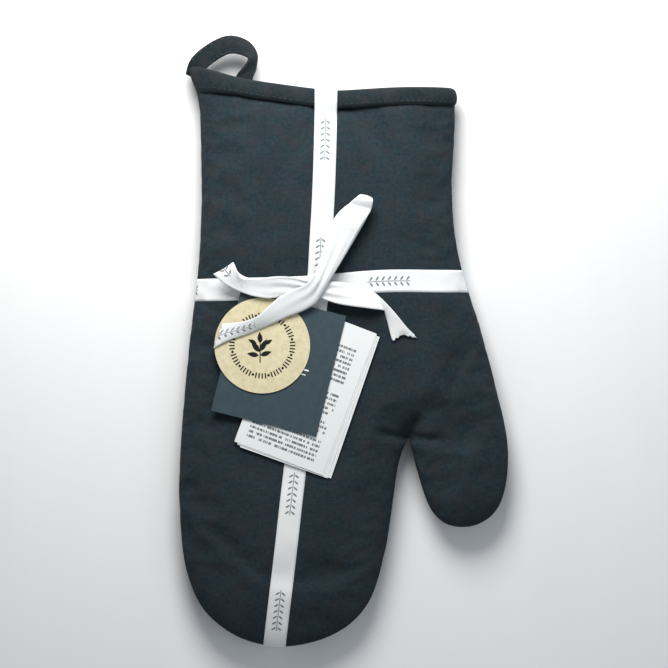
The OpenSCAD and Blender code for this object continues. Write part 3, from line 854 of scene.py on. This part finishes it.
def loop_tape():
    """The folded tape, a little cupped."""
    centre, width, across, _, out = tape_frame(9)
    out, length = unit(out), run_length(centre)
    spread = np.linspace(-1, 1, 9)
    verts = [c + a * (v * w / 2) + o * 0.35 * MM * (1 - v * v)
             for c, w, a, o in zip(centre, width, across, out) for v in spread]
    tape = new_object("loop_tape_band", verts, grid_faces(len(centre), len(spread)))
    set_uv(tape, [(s, v * RIBBON_W / 2) for s in length for v in spread])
    give(tape, TAPE)
    return bevel(thicken(tape, 1.3 * MM, 0.0), 0.45 * MM)


# The tape's centre, its direction across, and its width, from the cuff's corner round to the second foot
LOOP_ROWS = [(-84, 146.5, 13.0, 1, -0.5, 0.05, 9.5), (-82.6, 151.8, 13.2, 0.85, -0.65, 0.05, 10),
             (-78.9, 156.6, 13.6, 0.69, -0.72, 0.1, 10.3), (-70.8, 162.3, 14.2, 0.48, -0.88, 0.2, 10.6),
             (-63.2, 165.0, 14.4, 0.1, -0.99, 0.25, 10.6), (-55.4, 163.2, 14.2, -0.3, -0.75, 0.5, 10.4),
             (-50.8, 158.6, 14.4, -0.42, -0.35, 0.8, 10.0), (-52.3, 152.2, 15.4, -0.6, -0.05, 0.6, 9.6),
             (-55.2, 146.8, 17.0, -0.95, 0, 0.12, 9.8), (-56.2, 141.6, 17.5, -1, 0, 0, 9.6)]


def make_loop():
    centre, width, across, along, out = tape_frame(40)
    length = run_length(centre)
    places = []
    for s in np.arange(8 * MM, length[-1] - 8 * MM, 3.0 * MM):
        i = int(np.searchsorted(length, s))
        for edge, face in ((-1, -1), (-1, 1), (1, -1), (1, 1)):
            p = centre[i] + across[i] * edge * (width[i] / 2 - 1.1 * MM) + out[i] * (0.15 + 0.62 * face) * MM
            places.append((p, along[i], out[i] * face))
    return loop_tape(), capsule_rows("loop_stitches", places, 2.2 * MM, 0.42 * MM, 0.3 * MM)


# ---- Ribbon round the mitt ----


BAND_ACROSS = 9
CUFF_TOP = 141.9


def flat_rows(points, up):
    """Rows over the mitt (up is 1) or under it (-1), through points in millimetres."""
    return [(np.array([p[0], p[1], SEAM_Z + up * HALF]), np.array([0, 0, float(up)]))
            for p in curve_through(points)]


def edge_rows(edge, inward, first, last):
    """Rows round the mitt's side at an outline point, by angle above the seam."""
    pole = np.array([*(np.array(edge) * MM + inward * EDGE_R), SEAM_Z])
    rows = []
    for a in np.radians(np.linspace(first, last, 36)):
        place = pole + np.array([*(-inward * EDGE_R * math.cos(a)), HALF * math.sin(a)])
        rows.append((place, np.array([*(-inward * math.cos(a)), math.sin(a)])))
    return rows


def rest_on(tree, place, out, gap):
    """Moves a point along out until it rests on the mitt; it stays put where there is nothing under it."""
    hit = tree.ray_cast(Vector(place + out * 0.05), Vector(-out), 0.065)[0]
    return place if hit is None else np.array(hit) + out * gap


def band_grid(tree, rows, gap, raised):
    """Points of a closed ribbon that rests on the mitt, pulled smooth, along rows of (place, outwards).

    raised is (centre, height, radius), in millimetres, of where the ribbon is lifted over something.
    """
    place, out = (np.array(part) for part in zip(*rows))
    side = unit(np.cross(out, np.roll(place, -1, axis=0) - np.roll(place, 1, axis=0)))
    for _ in range(3):
        side = unit((np.roll(side, 1, axis=0) + 2 * side + np.roll(side, -1, axis=0)) / 4)
    spread = np.linspace(-1, 1, BAND_ACROSS)
    grid = np.array([[rest_on(tree, p + s * v * RIBBON_W / 2, o, gap) for v in spread]
                     for p, s, o in zip(place, side, out)])
    for smoothings in (2, 1, 0):
        for _ in range(smoothings):
            grid = (np.roll(grid, 1, axis=0) + 2 * grid + np.roll(grid, -1, axis=0)) / 4
            grid[:, 1:-1] = (grid[:, :-2] + 2 * grid[:, 1:-1] + grid[:, 2:]) / 4
        for row, o in zip(grid, out):
            for k, point in enumerate(row):
                resting = rest_on(tree, point, o, gap)
                if (resting - point) @ o > 0:
                    row[k] = resting
    centre, height, radius = raised
    d = np.linalg.norm(grid[:, :, :2] - np.array(centre) * MM, axis=2)
    grid += (height * MM * (1 - soft_step((d / MM - radius) / 7)))[:, :, None] * out[:, None, :]
    grid[:, :, 2] = np.maximum(grid[:, :, 2], 0.25 * MM)
    return grid


def lay_band(tree, name, rows, gap, raised, start_u):
    """A closed ribbon round the mitt."""
    grid = band_grid(tree, rows, gap, raised)
    n = len(grid)
    middle = grid[:, BAND_ACROSS // 2]
    length = run_length(np.vstack([middle, middle[:1]]))
    obj = new_object(name, grid.reshape(-1, 3), grid_faces(n, BAND_ACROSS, closed_rows=True))
    layer = obj.data.uv_layers.new(name="UVMap")
    for poly in obj.data.polygons:
        last = poly.index // (BAND_ACROSS - 1) == n - 1
        for vert, loop in zip(poly.vertices, poly.loop_indices):
            i, k = divmod(vert, BAND_ACROSS)
            u = length[n] if last and i == 0 else length[i]
            layer.data[loop].uv = (u + start_u, (-1 + 2 * k / (BAND_ACROSS - 1)) * RIBBON_W / 2)
    return thicken(give(obj, RIBBON), RIBBON_T)


def make_bands(tree):
    tip = np.array([-38.6, -171.2])
    inward = unit(KNOT - tip)
    pole = tip + inward * 30
    rows = flat_rows([(-9.7, 139.6), (-9.9, 125), (-10.3, 105), (-11.3, 77.6), (-12.6, 55), (-14.2, 29.3),
                      (-20.2, -20), (-27.0, -72.3), (-32.2, -118), tuple(pole)], 1)[:-1]
    rows += edge_rows(tip, inward, 88, -88)
    rows += flat_rows([tuple(pole + inward * 2), (-27.2, -72.3), (-14.5, 29), (-11.3, 77.6), (-9.7, 139.6)],
                      -1)
    for z in np.linspace(-1, 1, 9):
        over_cuff = np.array([-9.7 * MM, (CUFF_TOP - (1 - z * z)) * MM, SEAM_Z + z * (HALF - 0.6 * MM)])
        rows.append((over_cuff, np.array([0, 1.0, 0])))
    long_band = lay_band(tree, "ribbon_length", rows, 0.31 * MM, ((-9.7, 133.0), 0.55, 7), 4 * MM)
    left, right = np.array([-83.3, 27.6]), np.array([69.4, 32.6])
    rows = flat_rows([(-53, 28.2), (-35, 28.6), (-14.2, 29.6), (8, 31.6), (24, 32.6), (39.4, 32.7)], 1)
    rows += edge_rows(right, np.array([-1.0, 0.0]), 88, -88)
    rows += flat_rows([(37, 32.4), (0, 30.5), (-51, 28)], -1)
    rows += edge_rows(left, np.array([1.0, 0.02]) / 1.0002, -88, 88)
    return long_band, lay_band(tree, "ribbon_cross", rows, 0.24 * MM, ((-13.8, 29.3), 0.55, 8), 20 * MM)


# ---- Bow ----


BOW_ACROSS, BOW_STEPS = 13, 7


def bow_strip(name, rows, cup, gather, mat=RIBBON, start_u=0.0, frayed=False, blank=None):
    """A ribbon between two edges: each row is the left and the right edge point, in millimetres.

    cup lifts the middle, and gather is (row, spread, depth) of the pleats where the ribbon is drawn in.
    The first end of a frayed ribbon has come loose. There is no print past blank.
    """
    run = catmull([[*a, *b] for a, b in rows], BOW_STEPS) * MM + np.array([0, 0, TOP] * 2)
    a, b = run[:, :3], run[:, 3:]
    centre = (a + b) / 2
    tangent = unit(np.gradient(centre, axis=0))
    normal = unit(np.cross(b - a, tangent))
    for _ in range(3):
        normal[1:-1] = (normal[:-2] + 2 * normal[1:-1] + normal[2:]) / 4
    length = run_length(centre)
    verts, uv = [], []
    for i, s in enumerate(length):
        at = i / BOW_STEPS
        pleat = gather[2] * math.exp(-((at - gather[0]) / gather[1]) ** 2)
        loose = max(0.0, 1 - s / (2.2 * MM)) if frayed else 0.0
        u = 46 * MM + (s - blank) % (38 * MM) if blank and s > blank else s + start_u
        for k in range(BOW_ACROSS):
            v = -1 + 2 * k / (BOW_ACROSS - 1)
            lift = cup * (1 - v * v) + pleat * math.sin(v * 7.4 + 0.4 * at) * (1 - 0.4 * v * v)
            thread = loose * (abs((k * 0.5) % 1 - 0.25) * 2 + 0.8 * math.sin(k * 2.3)) * 0.75
            verts.append(centre[i] + (b[i] - a[i]) * (v / 2) + (normal[i] * lift - tangent[i] * thread) * MM)
            uv.append((u, v * RIBBON_W / 2))
    obj = new_object(name, verts, grid_faces(len(length), BOW_ACROSS))
    set_uv(obj, uv)
    return thicken(give(obj, mat), RIBBON_T, 0.0)


# From the ragged tail, over the round tag and the knot, up to the tall loop's fold and back to the knot.
# Heights are above the mitt's top.
DIAGONAL = [
    ((-66.5, 9.0, 5.0), (-71.6, -4.6, 4.9)), ((-61.5, 9.3, 6.2), (-64.2, -0.6, 4.9)),
    ((-54.3, 10.4, 8.0), (-53.6, 3.0, 4.9)), ((-47.3, 13.2, 9.0), (-45.0, 6.6, 5.1)),
    ((-41.6, 18.3, 9.0), (-37.3, 9.9, 5.5)), ((-35.8, 23.4, 9.0), (-29.5, 13.3, 6.0)),
    ((-28.5, 27.3, 9.6), (-21.9, 16.2, 6.6)), ((-22.6, 29.8, 10.6), (-15.6, 20.0, 7.2)),
    ((-19.0, 32.0, 11.4), (-12.2, 24.6, 8.2)), ((-16.9, 34.8, 11.8), (-9.2, 29.6, 9.2)),
    ((-15.2, 38.6, 11.4), (-6.4, 34.6, 9.4)), ((-12.4, 46.8, 11.0), (-1.4, 42.8, 9.0)),
    ((-9.2, 56.8, 11.2), (4.2, 52.8, 9.4)), ((-6.5, 64.6, 11.6), (9.0, 61.4, 10.2)),
    ((-3.2, 69.6, 11.0), (12.4, 66.8, 10.4)), ((0.2, 73.0, 9.9), (14.2, 69.8, 9.6)),
    ((2.8, 75.0, 9.3), (15.3, 72.0, 9.0)), ((5.4, 77.3, 10.9), (15.9, 74.2, 10.1)),
    ((7.6, 79.0, 11.2), (16.1, 76.2, 10.9)), ((9.0, 80.0, 9.9), (16.0, 77.8, 9.7)),
    ((9.2, 79.8, 7.8), (15.3, 78.2, 7.8)),
    ((7.0, 78.0, 5.4), (15.2, 75.6, 5.6)), ((0.4, 72.4, 3.6), (13.4, 68.6, 3.8)),
    ((-6.4, 62.0, 2.8), (7.6, 58.0, 3.0)), ((-12.2, 47.0, 2.6), (-1.0, 43.6, 2.8)),
    ((-16.0, 36.4, 2.8), (-8.2, 33.2, 3.0))]

# Out from the knot on the upper side, round the folded end, and back on the lower side
LEFT_LOOP = [
    ((-15.8, 32.0, 8.2), (-14.6, 26.0, 7.8)), ((-21.4, 32.7, 8.8), (-20.6, 24.8, 7.2)),
    ((-27.6, 34.4, 9.2), (-27.0, 23.4, 6.6)), ((-34.8, 35.0, 9.2), (-35.0, 23.4, 6.3)),
    ((-41.0, 34.6, 8.8), (-40.6, 22.8, 6.3)), ((-46.5, 33.7, 8.2), (-46.0, 23.4, 6.4)),
    ((-52.3, 33.7, 8.2), (-51.0, 24.4, 6.4)), ((-56.6, 34.0, 8.8), (-57.2, 26.6, 6.0)),
    ((-58.4, 37.0, 9.4), (-62.6, 29.0, 5.8)), ((-59.6, 40.2, 8.8), (-67.2, 31.8, 6.2)),
    ((-60.6, 42.4, 7.6), (-71.2, 35.6, 6.8)), ((-61.0, 42.8, 6.4), (-71.9, 36.2, 6.0)),
    ((-60.4, 41.6, 5.5), (-70.4, 34.6, 5.3)), ((-57.4, 36.6, 5.3), (-62.6, 28.8, 5.2)),
    ((-50.0, 33.8, 5.3), (-50.4, 24.6, 5.2)), ((-35.0, 33.6, 5.4), (-35.0, 24.4, 5.3)),
    ((-22.0, 31.6, 5.6), (-22.0, 25.4, 5.5))]

# Out of the knot, over the crosswise ribbon, then turned over to the notched end
RIGHT_TAIL = [
    ((-13.0, 31.8, 7.0), (-15.6, 25.0, 6.4)), ((-8.2, 32.2, 6.6), (-10.4, 22.2, 5.6)),
    ((-2.0, 31.9, 5.8), (-3.0, 19.8, 6.2)), ((4.4, 30.9, 5.0), (3.8, 18.6, 6.8)),
    ((9.8, 29.6, 3.8), (10.4, 17.8, 6.8)), ((13.8, 28.4, 2.6), (17.0, 17.0, 5.8)),
    ((17.2, 26.2, 2.2), (21.4, 16.4, 3.4)), ((20.6, 23.2, 3.4), (22.8, 15.8, 1.8)),
    ((24.2, 19.6, 4.8), (23.4, 13.2, 1.6)), ((28.6, 14.8, 4.8), (24.6, 8.8, 1.8)),
    ((34.2, 8.0, 3.4), (25.9, 3.2, 2.0)), ((40.8, 0.4, 1.6), (27.2, -1.6, 2.0))]


def notched(obj, deep, end):
    """Pushes the middle of a ribbon's end inwards, as a ragged notch."""
    co = coords(obj)
    a, b = np.array(end[0][:2]) * MM, np.array(end[1][:2]) * MM
    half, across = np.linalg.norm(a - b) / 2, unit(a - b)
    out = np.array([across[1], -across[0]])
    rel = co[:, :2] - (a + b) / 2
    v = np.clip(np.abs(rel @ across + 0.6 * MM) / half, 0, 1)
    near = np.clip(1 + (rel @ out) / (6 * MM), 0, 1) * (np.linalg.norm(rel, axis=1) < 1.4 * half)
    saw = 0.9 * np.abs((v * 3.4) % 1 - 0.5)
    co[:, :2] -= out * ((1 - v + saw) * deep * MM * near)[:, None]
    set_coords(obj, co)
    return obj


def make_bow():
    diagonal = bow_strip("bow_diagonal", DIAGONAL, 0.5, (9.2, 2.8, 0.55), frayed=True, start_u=21 * MM,
                         blank=21 * MM)
    left = bow_strip("bow_loop_left_band", LEFT_LOOP, 0.45, (0.6, 2.9, 0.6), start_u=-29 * MM)
    right = bow_strip("bow_tail_right_band", RIGHT_TAIL, 0.4, (0.4, 2.6, 0.6), mat=RIBBON_PLAIN)
    return diagonal, left, notched(right, 3.0, RIGHT_TAIL[-1])


def closed_tube(name, verts, uv, rings, around):
    """Rings of points closed at both ends, in plain ribbon."""
    last = (rings - 1) * around
    caps = [tuple(range(around))[::-1], tuple(range(last, last + around))]
    obj = new_object(name, verts, grid_faces(rings, around, closed_columns=True) + caps)
    set_uv(obj, uv)
    return give(obj, RIBBON_PLAIN)


def make_knot():
    """The gathered lump that the bow's crossing hides: ribbon wound round, with its pleats."""
    rings, around = 17, 40
    verts, uv = [], []
    lean = math.radians(61)
    for s in np.linspace(0, 1, rings):
        a = -math.pi / 2 + math.pi * s
        for t in np.linspace(0, 2 * math.pi, around, endpoint=False):
            pleat = 1 + 0.07 * math.sin(9 * t + 2.2 * math.sin(3 * s)) + 0.04 * math.sin(17 * t + 4 * s)
            r = 6.4 * math.cos(a) ** 0.75 * pleat if math.cos(a) > 1e-6 else 0.02
            x, y = r * math.cos(t) * 1.12, r * math.sin(t) * 0.86
            verts.append(((KNOT[0] + 0.6 + x * math.cos(lean) - y * math.sin(lean)) * MM,
                          (KNOT[1] + 0.2 + x * math.sin(lean) + y * math.cos(lean)) * MM,
                          TOP + (4.8 + 3.4 * math.sin(a)) * MM))
            uv.append((t * 6.4 * MM, a * 6 * MM))
    return closed_tube("knot_wrap", verts, uv, rings, around)


def make_strand():
    """The twisted end of ribbon on which the tags hang."""
    rings, around = 20, 16
    verts, uv = [], []
    low, high = TOP + 0.1 * MM, TOP + 4.75 * MM
    for s in np.linspace(0, 1, rings):
        for t in np.linspace(0, 2 * math.pi, around, endpoint=False):
            r = 0.78 + 0.16 * math.cos(3 * t + 7 * s)
            verts.append(((TAG_PIVOT[0] + r * math.cos(t)) * MM, (TAG_PIVOT[1] + r * math.sin(t)) * MM,
                          low + (high - low) * s))
            uv.append((s * 4.6 * MM, t * MM))
    return closed_tube("tag_strand_twist", verts, uv, rings, around)


# ---- Tags ----


def tag_bend(xy):
    """How far a tag droops away from the strand, the same for all three so that they stay apart."""
    r = np.linalg.norm(np.asarray(xy) - TAG_PIVOT * MM, axis=-1)
    return -0.9 * MM * (r / (90 * MM)) ** 2


GRAIN = 3.5 * MM


def plate(name, loop, z0, z1, mat, rounded=0.12 * MM):
    """A thin sheet with the given outline, in metres, the strand's hole, and a slight droop."""
    hole = TAG_PIVOT * MM
    ring = hole + np.array(circle(1.3 * MM, 24))
    grid = lattice(loop.min(0), loop.max(0), GRAIN, GRAIN)
    grid = grid[inside(grid, loop)]
    grid = grid[edge_distance(grid, np.vstack([loop, loop[:1]])) > GRAIN * 0.4]
    grid = grid[np.linalg.norm(grid - hole, axis=1) > 2.2 * MM]
    edges = loop_edges(0, len(loop)) + loop_edges(len(loop), len(ring))
    xy, faces = triangulate([*loop, *ring, *grid], edges)
    faces = [f for f in faces if np.linalg.norm(xy[list(f)].mean(0) - hole) >= 1.25 * MM]
    obj = new_object(name, np.column_stack([xy, tag_bend(xy) + z0]), faces, smooth=False)
    thicken(obj, z1 - z0)
    if rounded:
        bevel(obj, rounded)
    flat_uv(obj)
    return give(obj, mat)


def turned(points, centre, degrees):
    """Points in millimetres, turned and moved, in metres."""
    a = math.radians(degrees)
    p = np.asarray(points, float)
    x = p[:, 0] * math.cos(a) - p[:, 1] * math.sin(a) + centre[0]
    y = p[:, 0] * math.sin(a) + p[:, 1] * math.cos(a) + centre[1]
    return np.stack([x, y], axis=1) * MM


def rectangle(w, h):
    """Points about 4 mm apart round a rectangle about the origin, in millimetres."""
    out, corner = [], corners(w, h)
    for a, b in zip(corner, corner[1:] + corner[:1]):
        n = max(1, int(math.dist(a, b) / 4))
        out += [(a[0] + (b[0] - a[0]) * k / n, a[1] + (b[1] - a[1]) * k / n) for k in range(n)]
    return out


def corners(w, h):
    return [(-w / 2, -h / 2), (w / 2, -h / 2), (w / 2, h / 2), (-w / 2, h / 2)]


def prints(name, shapes, z, mat):
    """Flat inked shapes just above a tag, one mesh. Each shape is a loop of points in metres."""
    verts, faces = [], []
    for loop in shapes:
        faces.append(tuple(range(len(verts), len(verts) + len(loop))))
        verts += [(p[0], p[1], z + float(tag_bend(p)) + 0.03 * MM) for p in loop]
    obj = new_object(name, verts, faces, smooth=False)
    if obj.data.polygons[0].normal.z < 0:
        obj.data.flip_normals()
    thicken(obj, 0.025 * MM)
    flat_uv(obj)
    return give(obj, mat)


def leaf(long, wide, centre, degrees):
    """A pointed leaf from its stalk outwards."""
    side = [(long * s, wide / 2 * math.sin(math.pi * s ** 0.8)) for s in np.linspace(0, 1, 10)]
    return turned(side + [(x, -y) for x, y in side[-2:0:-1]], centre, degrees)


ROUND_CENTRE = (-45.0, -3.2)
CARD_CENTRE = (-36.0, -13.0)
LEAFLET_CENTRE = (-21.1, -26.5)
LEAFLET_W, LEAFLET_L, LEAFLET_TURN = 52.0, 84.0, -21
# The sprig on the round tag: each leaf's length, width, stalk from the tag's centre, and direction
SPRIG = [(7.5, 3.0, -1.5, -3.5, 128), (7.5, 3.0, -1.0, -3.0, 62), (6.6, 2.7, -2.0, -5.5, 170),
         (6.6, 2.7, -1.0, -5.4, 18), (6.2, 2.8, -1.0, 1.4, 95), (5.2, 2.2, 1.2, 0.6, 32),
         (5.2, 2.2, -3.2, 1.0, 152)]


def make_round_tag():
    """The kraft disc, with a sprig inside a ring of dashes and dots instead of its words."""
    low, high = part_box("round_tag")
    x, y = ROUND_CENTRE
    tag = plate("round_tag_board", turned(circle(26.5, 96), ROUND_CENTRE, 0), low.z, high.z, KRAFT)
    shapes = []
    for k in range(60):
        angle = math.radians(6 * k)
        centre = (x + 16.8 * math.cos(angle), y + 16.8 * math.sin(angle))
        shapes.append(turned(circle(0.72, 12) if k % 5 == 2 else corners(3.0, 0.72), centre, 6 * k))
    shapes += [leaf(long, wide, (x + dx, y + dy), turn) for long, wide, dx, dy, turn in SPRIG]
    stem = [(-0.32, -9.5), (0.32, -9.5), (0.22, 3.0), (-0.22, 3.0)]
    shapes.append(turned(stem, (x - 1.2, y), 0))
    return tag, prints("round_tag_print", shapes, high.z, INK)


def make_card():
    """The dark card, with two short light bars."""
    low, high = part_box("card_tag")
    card = plate("card_tag_board", turned(rectangle(60, 69), CARD_CENTRE, -14), low.z, high.z, SLATE)
    bars = [turned(corners(6.8, 0.9), (-22.6, -16.4), -14), turned(corners(4.8, 0.6), (-23.4, -19.0), -14)]
    return card, prints("card_tag_print", bars, high.z, PAPER)


def make_leaflet():
    """Folded sheets, one in another, whose free edges have slipped a little past each other."""
    low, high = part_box("leaflet_outer_sheet")
    pages = [("leaflet_back_page", 0.0, (1.2, -0.8), -20.0, PAPER),
             ("leaflet_page_3", 0.30, (4.0, -1.6), -19.0, PAPER),
             ("leaflet_page_2", 0.58, (2.6, -1.8), -19.7, PAPER),
             ("leaflet_page_1", 0.80, (1.2, -1.0), -20.5, PAPER),
             ("leaflet_front_page", 1.05, (0.0, 0.0), -21.0, PRINTED)]
    made = []
    for name, height, shift, turn, mat in pages:
        inset = 0.5 if "_page_" in name else 0.0
        outline = rectangle(LEAFLET_W - inset, LEAFLET_L - 2 * inset)
        centre = turned([shift], LEAFLET_CENTRE, turn)[0] / MM
        z = low.z + height * MM
        made.append(plate(name, turned(outline, centre, turn), z, z + 0.13 * MM, mat, rounded=0))
    return made + [make_spine(low.z, high.z)]


def make_spine(z0, z1):
    """The rounded fold along the leaflet's left side."""
    r = (z1 - z0) / 2
    steps, ring = 21, 9
    out = np.array([math.cos(math.radians(LEAFLET_TURN)), math.sin(math.radians(LEAFLET_TURN))])
    verts = []
    for v in np.linspace(-LEAFLET_L / 2, LEAFLET_L / 2, steps):
        p = turned([(-LEAFLET_W / 2 + 0.2, v)], LEAFLET_CENTRE, LEAFLET_TURN)[0]
        for a in np.linspace(math.pi / 2, 1.5 * math.pi, ring):
            q = p + out * math.cos(a) * r * 0.8
            verts.append((q[0], q[1], z0 + r + math.sin(a) * (r - 0.07 * MM) + float(tag_bend(p))))
    obj = new_object("leaflet_fold", verts, grid_faces(steps, ring))
    thicken(obj, 0.12 * MM, 0.0)
    flat_uv(obj)
    return give(obj, PAPER)


def printed_paper(name):
    """Paper with rows of small grey marks that stand for text without being any."""
    n = Nodes(name)
    uv = n.uv()
    to_centre = (-LEAFLET_CENTRE[0] * MM, -LEAFLET_CENTRE[1] * MM, 0)
    place = n.put("ShaderNodeMapping", {"Vector": uv, "Location": to_centre})[0]
    turn = n.put("ShaderNodeMapping", {"Vector": place, "Rotation": (0, 0, math.radians(-LEAFLET_TURN))})[0]
    u, v, _ = n.split(turn)
    row_at = (30 * MM - v) / (2.7 * MM)
    row, inner = n.math("FLOOR", row_at), n.math("FRACT", row_at)

    def marks(across, down, detail):
        key = n.put("ShaderNodeCombineXYZ", {0: u * across, 1: row * down})[0]
        return n.put("ShaderNodeTexNoise", {"Vector": key, "Scale": 1.0, "Detail": detail})[0]

    band = (inner > 0.22) * (inner < 0.74)
    lines = (row > -0.5) * (row < 24.5)
    for gap in (8.0, 9.0, 15.0, 19.0):
        lines = lines * (1.0 - (abs(row - gap) < 0.5))
    spread = (u > -21 * MM) * (u < 19 * MM)
    words = (marks(1700.0, 13.7, 1.0) > 0.44) * (marks(330.0, 7.1, 0.0) > 0.32)
    ink = words * band * (lines * spread)
    fibre = n.noise(uv, 2200, 3.0)
    base = n.mix(fibre, rgb(226, 231, 230), rgb(240, 243, 242))
    return n.shader(n.mix(ink * 0.8, base, rgb(70, 80, 86)), 0.75, 0.3, n.bump(fibre, 0.02 * MM))


PRINTED = printed_paper("leaflet_printed")

# ---- Assemble ----

make_camera()
make_room()

hand, thumb, batting, skin = make_mitt()
lining = make_lining()
binding = make_binding()
stitches = make_binding_stitches()
loop_band, loop_stitches = make_loop()
verts = [Vector(c) for c in skin[0]] + [Vector(c) for c in coords(binding)]
faces = skin[1] + [tuple(i + len(skin[0]) for i in p.vertices) for p in binding.data.polygons]
mitt_tree = BVHTree.FromPolygons(verts, faces)
long_band, cross_band = make_bands(mitt_tree)
diagonal, loop_left, tail_right = make_bow()
knot, strand = make_knot(), make_strand()
round_tag = make_round_tag()
card = make_card()
leaflet = make_leaflet()

fold_out = np.array([FOLD_TOP[1] - CROTCH[1], -(FOLD_TOP[0] - CROTCH[0])])
fold_out /= np.linalg.norm(fold_out)

for piece in (hand, batting[0], lining[0], binding, stitches, long_band, cross_band, diagonal, loop_left,
              tail_right, knot, strand):
    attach(piece, "mitt")
for piece in (thumb, batting[1], lining[1]):
    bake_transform(piece)
for piece in (loop_band, loop_stitches):
    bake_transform(piece)
for pieces, body in ((round_tag, "round_tag"), (card, "card_tag"), (leaflet, "leaflet")):
    for piece in pieces:
        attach(piece, body)

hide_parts("outer_front", "outer_back", "seam_allowance")
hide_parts("thumb_outer_front", "thumb_outer_back", "thumb_seam_allowance")
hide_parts("batting_front", "batting_back")
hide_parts("thumb_batting_front", "thumb_batting_back")
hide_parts("lining_front", "lining_back")
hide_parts("thumb_lining_front", "thumb_lining_back")
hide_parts("cuff_binding")
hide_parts("binding_stitch_line")
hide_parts("hanging_loop")
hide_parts("ribbon_length_front", "ribbon_length_back")
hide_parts("ribbon_cross_front", "ribbon_cross_back")
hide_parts("bow_loop_upper", "bow_tail_left")
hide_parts("bow_loop_left")
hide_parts("bow_tail_right")
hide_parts("ribbon_knot")
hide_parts("tag_strand")
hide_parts("round_tag")
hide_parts("card_tag")
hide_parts("leaflet_outer_sheet")
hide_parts("leaflet_inner_sheet")
